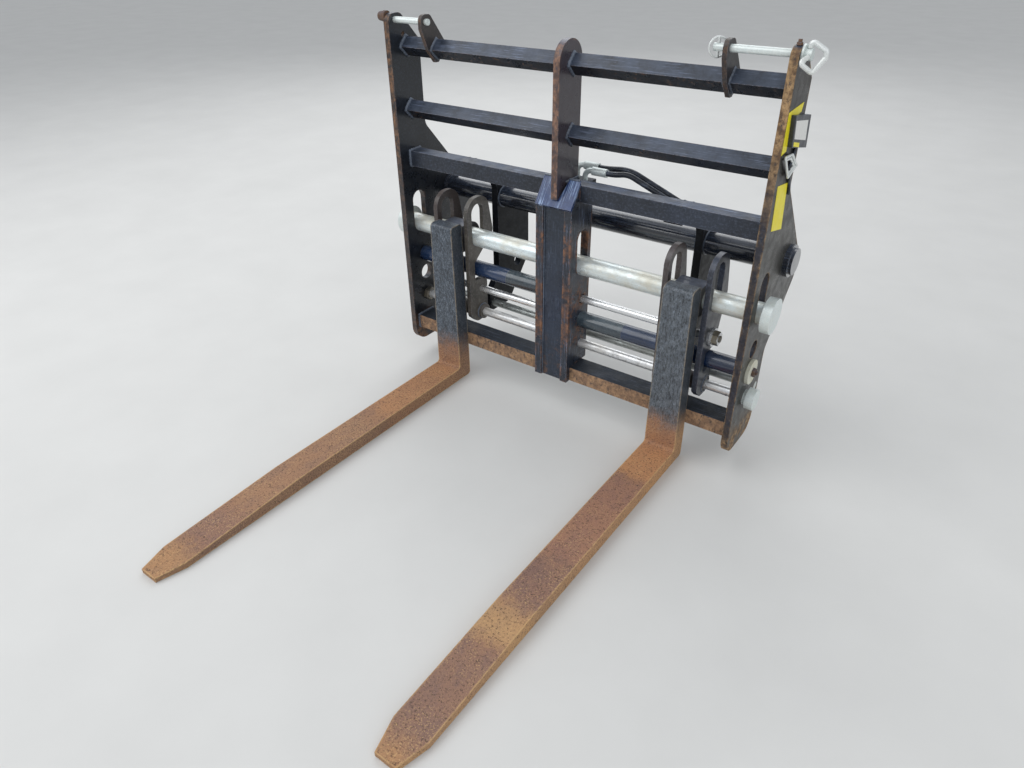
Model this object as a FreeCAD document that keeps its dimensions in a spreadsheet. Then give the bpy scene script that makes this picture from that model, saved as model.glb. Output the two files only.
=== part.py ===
import FreeCAD, Part
import math
import os
import re
import Sketcher
from FreeCAD import Rotation, Vector

# Fork carriage of a construction telehandler: a welded frame with two floating forks on a round
# shaft and a hydraulic positioner that slides the forks apart and together.
# X runs along the carriage, the fork blades point to -Y and Z is up. The ground is z = 0 and
# the origin lies on it, under the middle of the whole object.

os.makedirs("parts", exist_ok=True)
doc = FreeCAD.newDocument("fork_carriage")
dims = doc.addObject("Spreadsheet::Sheet", "dims")

# Driving dimensions in millimetres: alias, value.
SIZES = (
    ("span_inside", 1200), ("side_plate_t", 20), ("plate_top", 1180), ("plate_bottom", 65),
    ("upper_depth", 130), ("shoulder_z", 840), ("corner_drop", 82), ("crown_y", 52),
    ("bulge_depth", 352), ("bulge_top_z", 588), ("bulge_low_z", 520), ("waist_z", 345),
    ("lower_depth", 192), ("foot_r", 55), ("crown_r", 24), ("bend_r", 40),
    ("sight_hole_y", 58), ("sight_hole_drop", 61), ("sight_hole_r", 7.5),
    ("tube_wall", 5), ("bar_side", 40), ("bar_y", 70), ("bar_under_pin", 77), ("middle_bar_drop", 28),
    ("beam_side", 50), ("beam_y", 45), ("beam_z", 719),
    ("lower_bar_y", 20), ("lower_bar_depth", 75), ("lower_bar_z", 122), ("lower_bar_height", 48),
    ("centre_plate_t", 20), ("centre_plate_depth", 114), ("centre_plate_over_bar", 64),
    ("column_half", 62), ("flange_t", 25), ("flange_y", 0), ("flange_depth", 118), ("flange_corner", 30),
    ("column_top_z", 702), ("web_t", 12), ("cap_t", 13), ("notch_z", 728), ("notch_slope", 0.3),
    ("shaft_r", 30), ("shaft_y", 70), ("shaft_z", 515), ("shaft_out", 18),
    ("shaft_cap_r", 50), ("shaft_cap_t", 25), ("slot_rise", 84), ("fit_gap", 0.05),
    ("cylinder_y", 80), ("upper_cylinder_z", 397), ("lower_cylinder_z", 325), ("barrel_r", 27),
    ("barrel_bore_r", 21), ("anchor_hole_r", 26.5), ("anchor_disc_r", 37), ("anchor_disc_t", 10),
    ("gland_l", 158), ("piston_rod_r", 12.5), ("rod_inside", 200), ("rod_hole_r", 16),
    ("rod_washer_r", 28), ("rod_washer_t", 7), ("rod_nut_r", 19), ("rod_nut_t", 16),
    ("guide_z", 238), ("guide_r", 15), ("guide_collar_r", 23), ("guide_collar_t", 10),
    ("guide_block_r", 32), ("guide_block_t", 24), ("guide_nut_r", 22), ("guide_nut_t", 16),
    ("tie_y", 168), ("tie_z", 230), ("tie_r", 13),
    ("hook_y", 245), ("hook_z", 605), ("hook_r", 35), ("hook_wall", 9), ("hook_ring_r", 42),
    ("hook_ring_t", 9), ("hook_collar_r", 46), ("hook_collar_t", 14), ("hook_cap_r", 38),
    ("hook_cap_t", 9),
        ("hanger_x", 373), ("hanger_t", 25), ("hanger_y", 205), ("hanger_depth", 388), ("hanger_nose_y", 150),
    ("hanger_nose_z", 265), ("hanger_bottom", 200), ("hanger_shoulder", 82), ("hanger_foot", 60),
    ("hanger_chin", 65), ("hanger_armpit", 60), ("lock_y", 320), ("lock_z", 345), ("lock_r", 22),
    ("pin_y", 28), ("pin_drop", 18), ("pin_r", 9), ("pin_head_r", 15), ("pin_head_t", 9),
    ("pin_collar_r", 21), ("pin_collar_t", 5), ("pin_hub_r", 13), ("pin_hub_l", 15), ("pin_past_ear", 10),
    ("ear_t", 12), ("left_ear_x", 488), ("right_ear_x", 444), ("ear_edge", 20), ("ear_lip", 9),
    ("ear_toe", 7),
    ("lynch_x", 425), ("lynch_end", 10), ("lynch_r", 4), ("lynch_ring_r", 22), ("lynch_wire_r", 2.3),
    ("lynch_tilt", -45), ("handle_r", 5.5), ("handle_bend_r", 7), ("handle_out", 55), ("handle_root", 12),
    ("handle_crest", 22), ("handle_crest_z", 24), ("handle_side_y", 5), ("handle_side_z", 10),
    ("handle_side_low_z", 3), ("handle_low", 30), ("handle_low_y", 18), ("handle_low_z", 34),
    ("handle_heel", 5), ("handle_heel_y", 38), ("handle_heel_z", 12), ("handle_end", 15),
    ("handle_end_y", 14.8), ("handle_end_z", 3),
    ("fork_left_inset", 185), ("fork_right_inset", 174), ("fork_width", 100), ("shank_t", 55),
    ("fork_length", 1200), ("heel_t", 44), ("belly_t", 40), ("taper_l", 450), ("tip_t", 14),
    ("shank_top", 573), ("shank_top_width", 88), ("shank_crown_r", 14), ("heel_inner_r", 12),
    ("heel_outer_r", 12), ("nose_width", 58), ("nose_length", 78), ("bar_gap", 0.3),
    ("eye_r", 47), ("eye_width", 84), ("eye_web_z", 90),
    ("ring_t", 16), ("ring_gap", 6), ("ring_edge", 22), ("ring_play", 1), ("ring_neck", 24),
    ("ring_flare", 82), ("barrel_room", 6), ("carrier_back", 30), ("carrier_lobe", 42), ("sleeve_r", 26),
    ("sleeve_past", 12),
    ("hose_r", 8), ("hose_y", 124), ("hose_pitch", 26), ("hose_z", 790), ("hose_lift", 5),
    ("hose_stagger", 42), ("hose_lead", 25), ("hose_apex_x", 170), ("hose_apex_back", 10), ("hose_rise", 9),
    ("hose_turn_x", 332), ("hose_turn_step", 14), ("hose_turn_z", 736), ("hose_turn_drop", 4),
    ("elbow_r", 8), ("elbow_bend_r", 20), ("elbow_x", 28.5), ("ferrule_r", 12), ("ferrule_x", 54),
    ("ferrule_l", 48), ("coupler_l", 8), ("manifold_x", -26), ("manifold_l", 68), ("manifold_h", 35),
    ("shelf_drop", 23), ("shelf_l", 56), ("shelf_t", 8), ("shelf_depth", 72),
)
for row, (alias, value) in enumerate(SIZES, 1):
    dims.set(f"A{row}", alias)
    dims.set(f"B{row}", str(value))
    dims.setAlias(f"B{row}", alias)
doc.recompute()
ALIASES = {alias for alias, value in SIZES}

# The origin is the middle of the whole length and width. The side plates' front edges lie FRONT_EDGE_Y
# behind it, and the column's middle lies MIDDLE_X to its left, because the pull handle stands out furthest.
FRONT_EDGE_Y = "(fork_length + shank_t + bar_gap - lower_bar_y - hanger_depth) / 2"
MIDDLE_X = "(handle_out - shaft_out - shaft_cap_t) / 2"
PIN_Z = "(plate_top - pin_drop)"
TOP_BAR_Z = f"({PIN_Z} - bar_under_pin)"
MIDDLE_BAR_Z = f"(({TOP_BAR_Z} + beam_z + beam_side) / 2 - middle_bar_drop)"
PLATE_FACE = "span_inside / 2"
PLATE_OUTER = "(span_inside / 2 + side_plate_t)"
BAR_REACH = "bar_side * sqrt(2) / 2"
BARREL_Z = {"left": "upper_cylinder_z", "right": "lower_cylinder_z"}
ROD_Z = {"left": "lower_cylinder_z", "right": "upper_cylinder_z"}
FORK_X = {"left": "(fork_left_inset - span_inside / 2)", "right": "(span_inside / 2 - fork_right_inset)"}


def formula(text):
    """The text with each alias written as a cell of the sheet."""
    return re.sub(r"[A-Za-z_]\w*",
                  lambda word: "dims." + word.group() if word.group() in ALIASES else word.group(), str(text))


def number(text):
    """The value of a formula now."""
    result = doc.dims.evalExpression(str(text))
    return float(getattr(result, "Value", result))


def bind(thing, prop, text):
    """Tie a property to a formula of the sheet."""
    thing.setExpression(prop, formula(text))


def place(thing, x=0, y=0, z=0):
    """Tie the position of an object, given from the column's middle and the side plates' front edges."""
    for axis, text in zip("xyz", (f"{x} - {MIDDLE_X}", f"{y} + {FRONT_EDGE_Y}", z)):
        bind(thing, f"Placement.Base.{axis}", text)


def named(thing, label):
    thing.Label = label
    return thing


def plane(body, role):
    """One of the body's own origin planes."""
    return next(item for item in body.Origin.OriginFeatures if item.Role == role)


def pin_point(sketch, geometry, point, across, up):
    """Hold a sketch point at two formulas from the sketch origin."""
    for kind, text in (("DistanceX", across), ("DistanceY", up)):
        held = sketch.addConstraint(Sketcher.Constraint(kind, -1, 1, geometry, point, number(text)))
        sketch.setExpression(f"Constraints[{held}]", formula(text))


def draw_outline(sketch, corners):
    """A closed outline of straight lines through corners held at formulas."""
    points = [Vector(number(corner[0]), number(corner[1]), 0) for corner in corners]
    lines = [sketch.addGeometry(Part.LineSegment(start, end), False)
             for start, end in zip(points, points[1:] + points[:1])]
    for line, after in zip(lines, lines[1:] + lines[:1]):
        sketch.addConstraint(Sketcher.Constraint("Coincident", line, 2, after, 1))
    for line, corner in zip(lines, corners):
        pin_point(sketch, line, 1, corner[0], corner[1])


def draw_circle(sketch, across, up, radius):
    circle = sketch.addGeometry(
        Part.Circle(Vector(number(across), number(up), 0), Vector(0, 0, 1), number(radius)), False)
    pin_point(sketch, circle, 3, across, up)
    held = sketch.addConstraint(Sketcher.Constraint("Radius", circle, number(radius)))
    sketch.setExpression(f"Constraints[{held}]", formula(radius))


def draw_slot(sketch, across, up, radius, rise):
    """An upright slot: two half circles joined by tangent lines."""
    y, z, r, dz = number(across), number(up), number(radius), number(rise)
    up_axis = Vector(0, 0, 1)
    low_circle = Part.Circle(Vector(y, z, 0), up_axis, r)
    high_circle = Part.Circle(Vector(y, z + dz, 0), up_axis, r)
    low = sketch.addGeometry(Part.ArcOfCircle(low_circle, math.pi, 2 * math.pi), False)
    right = sketch.addGeometry(Part.LineSegment(Vector(y + r, z, 0), Vector(y + r, z + dz, 0)), False)
    high = sketch.addGeometry(Part.ArcOfCircle(high_circle, 0, math.pi), False)
    left = sketch.addGeometry(Part.LineSegment(Vector(y - r, z + dz, 0), Vector(y - r, z, 0)), False)
    for first, second in ((low, right), (right, high), (high, left), (left, low)):
        sketch.addConstraint(Sketcher.Constraint("Tangent", first, 2, second, 1))
    sketch.addConstraint(Sketcher.Constraint("Vertical", right))
    pin_point(sketch, low, 3, across, up)
    held = sketch.addConstraint(Sketcher.Constraint("Radius", low, r))
    sketch.setExpression(f"Constraints[{held}]", formula(radius))
    held = sketch.addConstraint(Sketcher.Constraint("DistanceY", low, 3, high, 3, dz))
    sketch.setExpression(f"Constraints[{held}]", formula(rise))


def round_corners(body, feature, corners):
    """Fillets along the pad at the corners that carry a radius."""
    radii = {}
    for corner in corners:
        if len(corner) == 3:
            radii.setdefault(str(corner[2]), []).append((number(corner[0]), number(corner[1])))
    for radius, spots in radii.items():
        doc.recompute()
        names = []
        for index, edge in enumerate(feature.Shape.Edges, 1):
            ends = [vertex.Point for vertex in edge.Vertexes]
            if len(ends) == 2 and all(abs(end.y - ends[0].y) + abs(end.z - ends[0].z) < 0.01 for end in ends):
                if any(abs(ends[0].y - y) + abs(ends[0].z - z) < 0.01 for y, z in spots):
                    names.append(f"Edge{index}")
        fillet = body.newObject("PartDesign::Fillet", body.Name + "_round")
        fillet.Base = (feature, names)
        bind(fillet, "Radius", radius)
        feature = fillet
    return feature


def plate(label, x_left, thickness, corners, holes=(), slots=(), windows=()):
    """A flat plate that stands across X, with its outline and openings drawn in one sketch."""
    body = doc.addObject("PartDesign::Body", label)
    sketch = body.newObject("Sketcher::SketchObject", label + "_outline")
    sketch.AttachmentSupport = (plane(body, "YZ_Plane"), [""])
    sketch.MapMode = "FlatFace"
    doc.recompute()
    draw_outline(sketch, corners)
    for window in windows:
        draw_outline(sketch, window)
    for hole in holes:
        draw_circle(sketch, *hole)
    for slot in slots:
        draw_slot(sketch, *slot)
    pad = body.newObject("PartDesign::Pad", label + "_pad")
    pad.Profile = sketch
    bind(pad, "Length", thickness)
    doc.recompute()
    round_corners(body, pad, corners)
    place(body, x=x_left)
    return named(body, label)


def box(name, x, y, z, length, width, height):
    solid = doc.addObject("Part::Box", name)
    for prop, text in (("Length", length), ("Width", width), ("Height", height)):
        bind(solid, prop, text)
    place(solid, x, y, z)
    return solid


def rod(name, x, y, z, radius, length):
    """A cylinder along X that starts at x."""
    solid = doc.addObject("Part::Cylinder", name)
    solid.Placement.Rotation = Rotation(Vector(0, 1, 0), 90)
    bind(solid, "Radius", radius)
    bind(solid, "Height", length)
    place(solid, x, y, z)
    return solid


def fused(label, solids):
    joined = doc.addObject("Part::MultiFuse", label)
    joined.Shapes = solids
    return named(joined, label)


def cut(label, base, tool):
    left_over = doc.addObject("Part::Cut", label)
    left_over.Base = base
    left_over.Tool = tool
    return named(left_over, label)


def diamond(y, z, wall=0):
    """Outline of a square tube that stands on its edge, or of its inside."""
    reach = f"({BAR_REACH} - {wall} * sqrt(2))"
    return ((f"{y} - {reach}", z), (y, f"{z} - {reach}"), (f"{y} + {reach}", z), (y, f"{z} + {reach}"))


def side_plate(side):
    x_left = PLATE_FACE if side == "right" else f"-{PLATE_OUTER}"
    corners = ((0, "plate_bottom", "foot_r"), ("lower_depth", "plate_bottom", "foot_r"),
               ("lower_depth", "waist_z", "bend_r"), ("bulge_depth", "bulge_low_z", "bend_r"),
               ("bulge_depth", "bulge_top_z", "bend_r"), ("upper_depth", "shoulder_z", "bend_r"),
               ("upper_depth", "plate_top - corner_drop"), ("crown_y", "plate_top", "crown_r"),
               (0, "plate_top", "crown_r"))
    holes = [("cylinder_y", "upper_cylinder_z", "anchor_hole_r"),
             ("cylinder_y", "lower_cylinder_z", "anchor_hole_r"),
             ("cylinder_y", "guide_z", "guide_r + fit_gap"), ("tie_y", "tie_z", "tie_r + fit_gap"),
             ("hook_y", "hook_z", "hook_r + fit_gap"), ("pin_y", PIN_Z, "pin_r + fit_gap")]
    if side == "left":
        holes.append(("sight_hole_y", "plate_top - sight_hole_drop", "sight_hole_r"))
    return plate(f"side_plate_{side}", x_left, "side_plate_t", corners, holes,
                 (("shaft_y", "shaft_z", "shaft_r + fit_gap", "slot_rise"),))


def diamond_bar(label, z):
    return plate(label, f"-{PLATE_FACE}", "span_inside", diamond("bar_y", z),
                 windows=(diamond("bar_y", z, "tube_wall"),))


def cross_tube(label, y, z, depth, height):
    """A rectangular tube between the side plates."""
    outside = box(label + "_outside", f"-{PLATE_FACE}", y, z, "span_inside", depth, height)
    inside = box(label + "_inside", f"-{PLATE_FACE}", f"{y} + tube_wall", f"{z} + tube_wall", "span_inside",
                 f"{depth} - 2 * tube_wall", f"{height} - 2 * tube_wall")
    return cut(label, outside, inside)


def centre_plate():
    """Plate on the beam with a full round top; its foot reaches down into the column's notch."""
    top = f"{TOP_BAR_Z} + centre_plate_over_bar"
    corners = ((0, "notch_z"), ("beam_y", "notch_z"), ("beam_y", "beam_z + beam_side"),
               ("centre_plate_depth", "beam_z + beam_side"),
               ("centre_plate_depth", top, "centre_plate_depth / 2 - 0.5"),
               (0, top, "centre_plate_depth / 2 - 0.5"))
    return plate("centre_plate", "-centre_plate_t / 2", "centre_plate_t", corners,
                 windows=(diamond("bar_y", TOP_BAR_Z), diamond("bar_y", MIDDLE_BAR_Z)))


def column_flange(side):
    x_left = "column_half - flange_t" if side == "right" else "-column_half"
    low_top = "lower_bar_z + lower_bar_height"
    corners = (("flange_y", "lower_bar_z"), ("lower_bar_y", "lower_bar_z"), ("lower_bar_y", low_top),
               ("flange_depth", low_top), ("flange_depth", "beam_z - flange_corner"),
               ("beam_y + beam_side", "beam_z"), ("beam_y", "beam_z"), ("beam_y", "beam_z + beam_side"),
               ("flange_y", "column_top_z"))
    holes = (("cylinder_y", BARREL_Z["left"], "rod_hole_r"), ("cylinder_y", BARREL_Z["right"], "rod_hole_r"),
             ("cylinder_y", "guide_z", "guide_r + fit_gap"))
    return plate(f"column_flange_{side}", x_left, "flange_t", corners, holes,
                 (("shaft_y", "shaft_z", "shaft_r + fit_gap", "slot_rise"),))


def column_web():
    """Front web between the flanges; its front edge reaches the sloping cap."""
    front = "(lower_bar_y - web_t)"
    top = f"(column_top_z + ({front} - flange_y) * (beam_z + beam_side - column_top_z) / (beam_y - flange_y))"
    return named(box("column_web", "flange_t - column_half", front, "lower_bar_z",
                     "2 * (column_half - flange_t)", "web_t", f"{top} - lower_bar_z"), "column_web")


def upright_prism(label, corners, x, y, depth):
    """A body whose outline is drawn across X and Z and padded backwards from y."""
    body = doc.addObject("PartDesign::Body", label)
    sketch = body.newObject("Sketcher::SketchObject", label + "_outline")
    sketch.AttachmentSupport = (plane(body, "XZ_Plane"), [""])
    sketch.MapMode = "FlatFace"
    doc.recompute()
    draw_outline(sketch, corners)
    pad = body.newObject("PartDesign::Pad", label + "_pad")
    pad.Profile = sketch
    pad.Reversed = True
    bind(pad, "Length", depth)
    place(body, x, y)
    return body


def column_cap():
    """Sloping cap from the column's front edge up to the beam, with a V notch for the centre plate."""
    corners = (("flange_y", "column_top_z"), ("beam_y", "beam_z + beam_side"),
               ("beam_y", "beam_z + beam_side + cap_t"), ("flange_y - cap_t / 2", "column_top_z + cap_t / 2"))
    slab = plate("cap_slab", "-column_half", "2 * column_half", corners)
    rise = "2 * beam_side"
    foot = "centre_plate_t / 2"
    notch = upright_prism("cap_notch", ((f"-{foot}", "notch_z"), (foot, "notch_z"),
                                        (f"{foot} + {rise} * notch_slope", f"notch_z + {rise}"),
                                        (f"-({foot} + {rise} * notch_slope)", f"notch_z + {rise}")),
                          0, "flange_y - cap_t", "beam_y + 2 * cap_t")
    return cut("column_cap", slab, notch)


def hanger(side):
    """Plate behind the beam that takes the machine's hook tube and lock pin."""
    x_middle = "hanger_x" if side == "right" else "-hanger_x"
    corners = (("beam_y + beam_side", "beam_z"), ("hanger_y", "beam_z - hanger_armpit", "bend_r"),
               ("hanger_y", "hanger_nose_z + hanger_chin", "bend_r"),
               ("hanger_nose_y", "hanger_nose_z", "bend_r / 2"),
               ("hanger_nose_y", "hanger_bottom", "bend_r / 2"),
               ("hanger_y + hanger_foot", "hanger_bottom", "bend_r"), ("hanger_depth", "lock_z", "bend_r"),
               ("hanger_depth", "hook_z", "bend_r"),
               ("hook_y + bend_r", "hook_z + hanger_shoulder", "bend_r"),
               ("beam_y + beam_side", "beam_z + beam_side"))
    holes = (("hook_y", "hook_z", "hook_r + fit_gap"), ("lock_y", "lock_z", "lock_r"),
             ("tie_y", "tie_z", "tie_r + fit_gap"))
    return plate(f"hanger_{side}", f"{x_middle} - hanger_t / 2", "hanger_t", corners, holes)


def hook_tube():
    """Tube through the side plates, with a welded ring against each plate's inner face."""
    start = f"-{PLATE_OUTER} - hook_collar_t"
    length = f"2 * ({PLATE_OUTER} + hook_collar_t)"
    outside = rod("hook_tube_outside", start, "hook_y", "hook_z", "hook_r", length)
    ring_starts = (("left", f"-{PLATE_FACE}"), ("right", f"{PLATE_FACE} - hook_ring_t"))
    rings = [rod(f"hook_ring_{side}", ring_x, "hook_y", "hook_z", "hook_ring_r", "hook_ring_t")
             for side, ring_x in ring_starts]
    inside = rod("hook_tube_inside", start, "hook_y", "hook_z", "hook_r - hook_wall", length)
    return cut("hook_tube", fused("hook_tube_body", [outside] + rings), inside)


def hook_cap(side):
    """Collar round the end of the hook tube, closed by a smaller disc."""
    collar_x, disc_x = PLATE_OUTER, f"{PLATE_OUTER} + hook_collar_t"
    if side == "left":
        collar_x, disc_x = f"-{PLATE_OUTER} - hook_collar_t", f"-{PLATE_OUTER} - hook_collar_t - hook_cap_t"
    label = f"hook_cap_{side}"
    collar = rod(label + "_collar", collar_x, "hook_y", "hook_z", "hook_collar_r", "hook_collar_t")
    hole = rod(label + "_hole", collar_x, "hook_y", "hook_z", "hook_r + fit_gap", "hook_collar_t")
    disc = rod(label + "_disc", disc_x, "hook_y", "hook_z", "hook_cap_r", "hook_cap_t")
    return fused(label, [cut(label + "_ring", collar, hole), disc])


def fork_shaft():
    start = f"-{PLATE_OUTER} - shaft_out"
    length = f"2 * ({PLATE_OUTER} + shaft_out)"
    return named(rod("fork_shaft", start, "shaft_y", "shaft_z", "shaft_r", length), "fork_shaft")


def shaft_cap(side):
    start = f"{PLATE_OUTER} + shaft_out" if side == "right" else f"-{PLATE_OUTER} - shaft_out - shaft_cap_t"
    return named(rod(f"shaft_cap_{side}", start, "shaft_y", "shaft_z", "shaft_cap_r", "shaft_cap_t"),
                 f"shaft_cap_{side}")


def barrel(side):
    """Cylinder barrel on one side of the column, closed in the side plate and open at its gland."""
    z = BARREL_Z[side]
    name = "upper" if side == "left" else "lower"
    inner = "column_half + gland_l"
    tube_length = f"{PLATE_FACE} - ({inner})"
    starts = {"right": (inner, PLATE_FACE), "left": (f"-{PLATE_FACE}", f"-{PLATE_OUTER}")}
    tube = rod(f"{name}_tube", starts[side][0], "cylinder_y", z, "barrel_r", tube_length)
    plug = rod(f"{name}_plug", starts[side][1], "cylinder_y", z, "anchor_hole_r - fit_gap", "side_plate_t")
    shell = fused(f"{name}_shell", [tube, plug])
    bore = rod(f"{name}_bore", starts[side][0], "cylinder_y", z, "barrel_bore_r", tube_length)
    return cut(f"{name}_barrel", shell, bore)


def gland(side):
    z = BARREL_Z[side]
    name = "upper" if side == "left" else "lower"
    start = "column_half" if side == "right" else "-column_half - gland_l"
    body = rod(f"{name}_gland_body", start, "cylinder_y", z, "barrel_r", "gland_l")
    hole = rod(f"{name}_gland_hole", start, "cylinder_y", z, "piston_rod_r + fit_gap", "gland_l")
    return cut(f"{name}_gland", body, hole)


def anchor_disc(side):
    z = BARREL_Z[side]
    start = PLATE_OUTER if side == "right" else f"-{PLATE_OUTER} - anchor_disc_t"
    return named(rod(f"anchor_disc_{side}", start, "cylinder_y", z, "anchor_disc_r", "anchor_disc_t"),
                 f"anchor_disc_{side}")


def guide_rod():
    """Rod through both side plates with a round head outside the left one."""
    bar = rod("guide_rod_bar", f"-{PLATE_OUTER}", "cylinder_y", "guide_z", "guide_r",
              f"2 * {PLATE_OUTER} + guide_collar_t")
    head = rod("guide_rod_head", f"-{PLATE_OUTER} - guide_nut_t", "cylinder_y", "guide_z", "guide_nut_r",
               "guide_nut_t")
    return fused("guide_rod", [bar, head])


def guide_nut():
    """Nut on the guide rod against the left plate's inner face."""
    body, hole = (rod(f"guide_nut_{what}", f"-{PLATE_FACE}", "cylinder_y", "guide_z", radius, "guide_nut_t")
                  for what, radius in (("body", "guide_nut_r"), ("hole", "guide_r + fit_gap")))
    return cut("guide_nut", body, hole)


def guide_block():
    collar, hole = (rod(f"guide_collar_{what}", PLATE_OUTER, "cylinder_y", "guide_z", radius,
                        "guide_collar_t")
                    for what, radius in (("disc", "guide_collar_r"), ("hole", "guide_r + fit_gap")))
    block = rod("guide_block_disc", f"{PLATE_OUTER} + guide_collar_t", "cylinder_y", "guide_z",
                "guide_block_r", "guide_block_t")
    return cut("guide_block", fused("guide_block_body", [collar, block]), hole)


def tie_tube():
    length = f"2 * {PLATE_OUTER}"
    return named(rod("tie_tube", f"-{PLATE_OUTER}", "tie_y", "tie_z", "tie_r", length), "tie_tube")


def pin_ear(side):
    """Ear round the top bar that holds the inner end of a locking pin."""
    x_left = "right_ear_x" if side == "right" else "-left_ear_x"
    toe = f"{TOP_BAR_Z} - {BAR_REACH} - ear_lip"
    back = f"bar_y + {BAR_REACH} + ear_lip"
    corners = (("pin_y - ear_edge", f"{PIN_Z} + ear_edge", "ear_edge - 1"),
               ("pin_y - ear_edge", f"{PIN_Z} - ear_edge"),
               (f"bar_y - {BAR_REACH} - ear_lip", TOP_BAR_Z), ("bar_y - ear_toe", toe),
               ("bar_y + ear_toe", toe), (back, TOP_BAR_Z), (back, f"{TOP_BAR_Z} + ear_edge"),
               ("pin_y + ear_edge", f"{PIN_Z} + ear_edge", "ear_edge - 1"))
    return plate(f"pin_ear_{side}", x_left, "ear_t", corners, (("pin_y", PIN_Z, "pin_r + fit_gap"),),
                 windows=(diamond("bar_y", TOP_BAR_Z),))


def left_pin():
    inner_end = "left_ear_x - ear_t - pin_past_ear"
    bar = rod("left_pin_bar", f"-{PLATE_OUTER}", "pin_y", PIN_Z, "pin_r", f"{PLATE_OUTER} - ({inner_end})")
    head = rod("left_pin_head", f"-{PLATE_OUTER} - pin_head_t", "pin_y", PIN_Z, "pin_head_r", "pin_head_t")
    return fused("left_pin", [bar, head])


def lynch_bar(name, radius):
    """Upright bar through the right pin's inner end."""
    bar = doc.addObject("Part::Cylinder", name)
    bind(bar, "Radius", radius)
    bind(bar, "Height", "2 * lynch_ring_r")
    place(bar, "lynch_x", "pin_y", f"{PIN_Z} - lynch_ring_r")
    return bar


def right_pin():
    """Locking pin with a collar and hub outside, bored near its inner end for the lynch pin."""
    start = "lynch_x - lynch_end"
    bar = rod("right_pin_bar", start, "pin_y", PIN_Z, "pin_r", f"{PLATE_OUTER} - ({start})")
    collar = rod("right_pin_collar", PLATE_OUTER, "pin_y", PIN_Z, "pin_collar_r", "pin_collar_t")
    hub = rod("right_pin_hub", f"{PLATE_OUTER} + pin_collar_t", "pin_y", PIN_Z, "pin_hub_r", "pin_hub_l")
    return cut("right_pin", fused("right_pin_body", [bar, collar, hub]),
               lynch_bar("lynch_hole", "lynch_r + fit_gap"))


def lynch_pin():
    """Bar through the locking pin with the spring ring that snaps round it."""
    ring = doc.addObject("Part::Torus", "lynch_ring")
    ring.Placement.Rotation = Rotation(Vector(0, 0, 1), number("lynch_tilt")) * Rotation(Vector(0, 1, 0), 90)
    bind(ring, "Radius1", "lynch_ring_r")
    bind(ring, "Radius2", "lynch_wire_r")
    place(ring, "lynch_x", "pin_y", PIN_Z)
    return fused("lynch_pin", [ring, lynch_bar("lynch_bar", "lynch_r")])


def swept(label, corners, radius, bend=None):
    """Round bar or hose along straight runs joined by tangent arcs; without a bend, arcs as large as fit."""
    points = [Vector(*(number(text) for text in corner)) for corner in corners]
    legs = [after - before for before, after in zip(points, points[1:])]
    room = [0.9 * legs[0].Length] + [0.45 * leg.Length for leg in legs[1:-1]] + [0.9 * legs[-1].Length]
    edges = []
    bends = []
    start = points[0]
    for index, corner in enumerate(points[1:-1]):
        inward = Vector(legs[index]).normalize()
        outward = Vector(legs[index + 1]).normalize()
        half_turn = inward.getAngle(outward) / 2
        bend_r = number(bend) if bend else min(room[index:index + 2]) / math.tan(half_turn)
        reach = bend_r * math.tan(half_turn)
        middle = corner + (outward - inward).normalize() * (bend_r / math.cos(half_turn) - bend_r)
        edges += [Part.LineSegment(start, corner - inward * reach).toShape(),
                  Part.Arc(corner - inward * reach, middle, corner + outward * reach).toShape()]
        start = corner + outward * reach
        bends.append(round(bend_r))
    path = Part.Wire(edges + [Part.LineSegment(start, points[-1]).toShape()])
    section = Part.Wire(Part.Circle(points[0], legs[0], number(radius)).toShape())
    bar = doc.addObject("Part::Feature", label)
    bar.Shape = path.makePipeShell([section], True, False)
    filled = bar.Shape.Volume / (math.pi * number(radius) ** 2 * path.Length)
    print(f"{label}: {path.Length:.0f} mm long, bends {bends}, volume {filled:.4f} of section times length")
    place(bar)
    return named(bar, label)


def pull_handle():
    """Bent ring that rises from the right pin's hub, stands out beyond it and comes back to its front."""
    outer = "handle_out - handle_r"
    spots = (("handle_root", "0", "pin_hub_r + fit_gap"), ("handle_root", "0", "handle_crest_z"),
             ("handle_crest", "0", "handle_crest_z"), (outer, "handle_side_y", "handle_side_z"),
             (outer, "handle_side_y", "-handle_side_low_z"), ("handle_low", "handle_low_y", "-handle_low_z"),
             ("handle_heel", "handle_heel_y", "-handle_heel_z"),
             ("handle_end", "handle_end_y", "-handle_end_z"))
    corners = [(f"{PLATE_OUTER} + {out}", f"pin_y - {forward}", f"{PIN_Z} + ({up})")
               for out, forward, up in spots]
    return swept("pull_handle", corners, "handle_r", "handle_bend_r")


def hose_fitting(name, row):
    """Elbow that rises from the manifold and turns into the hose's ferrule."""
    label = f"hose_fitting_{name}"
    x, y, z = f"elbow_x - {row} * hose_stagger", f"hose_y + {row} * hose_pitch", f"hose_z + {row} * hose_lift"
    end = f"ferrule_x - {row} * hose_stagger"
    elbow = swept(label + "_elbow", ((x, y, "beam_z + manifold_h"), (x, y, z), (end, y, z)), "elbow_r",
                  "elbow_bend_r")
    return fused(label, [elbow, rod(label + "_ferrule", end, y, z, "ferrule_r", "ferrule_l")])


def coupler_place(row):
    """Middle of the coupler that takes a hose."""
    return f"hose_turn_x + {row} * hose_turn_step", f"hose_y + {row} * hose_pitch"


def hose(name, row):
    """Hose that arches from its ferrule to a coupler by the right hanger."""
    end, y = coupler_place(row)
    z = f"hose_z + {row} * hose_lift"
    start = f"ferrule_x + ferrule_l - {row} * hose_stagger"
    corners = ((start, y, z), (f"{start} + hose_lead", y, z),
               (f"hose_apex_x - {row} * hose_apex_back", y, f"{z} + hose_rise"),
               (end, y, f"hose_turn_z - {row} * hose_turn_drop"),
               (end, y, "beam_z - shelf_drop + shelf_t + coupler_l"))
    return swept(f"hose_{name}", corners, "hose_r")


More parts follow.
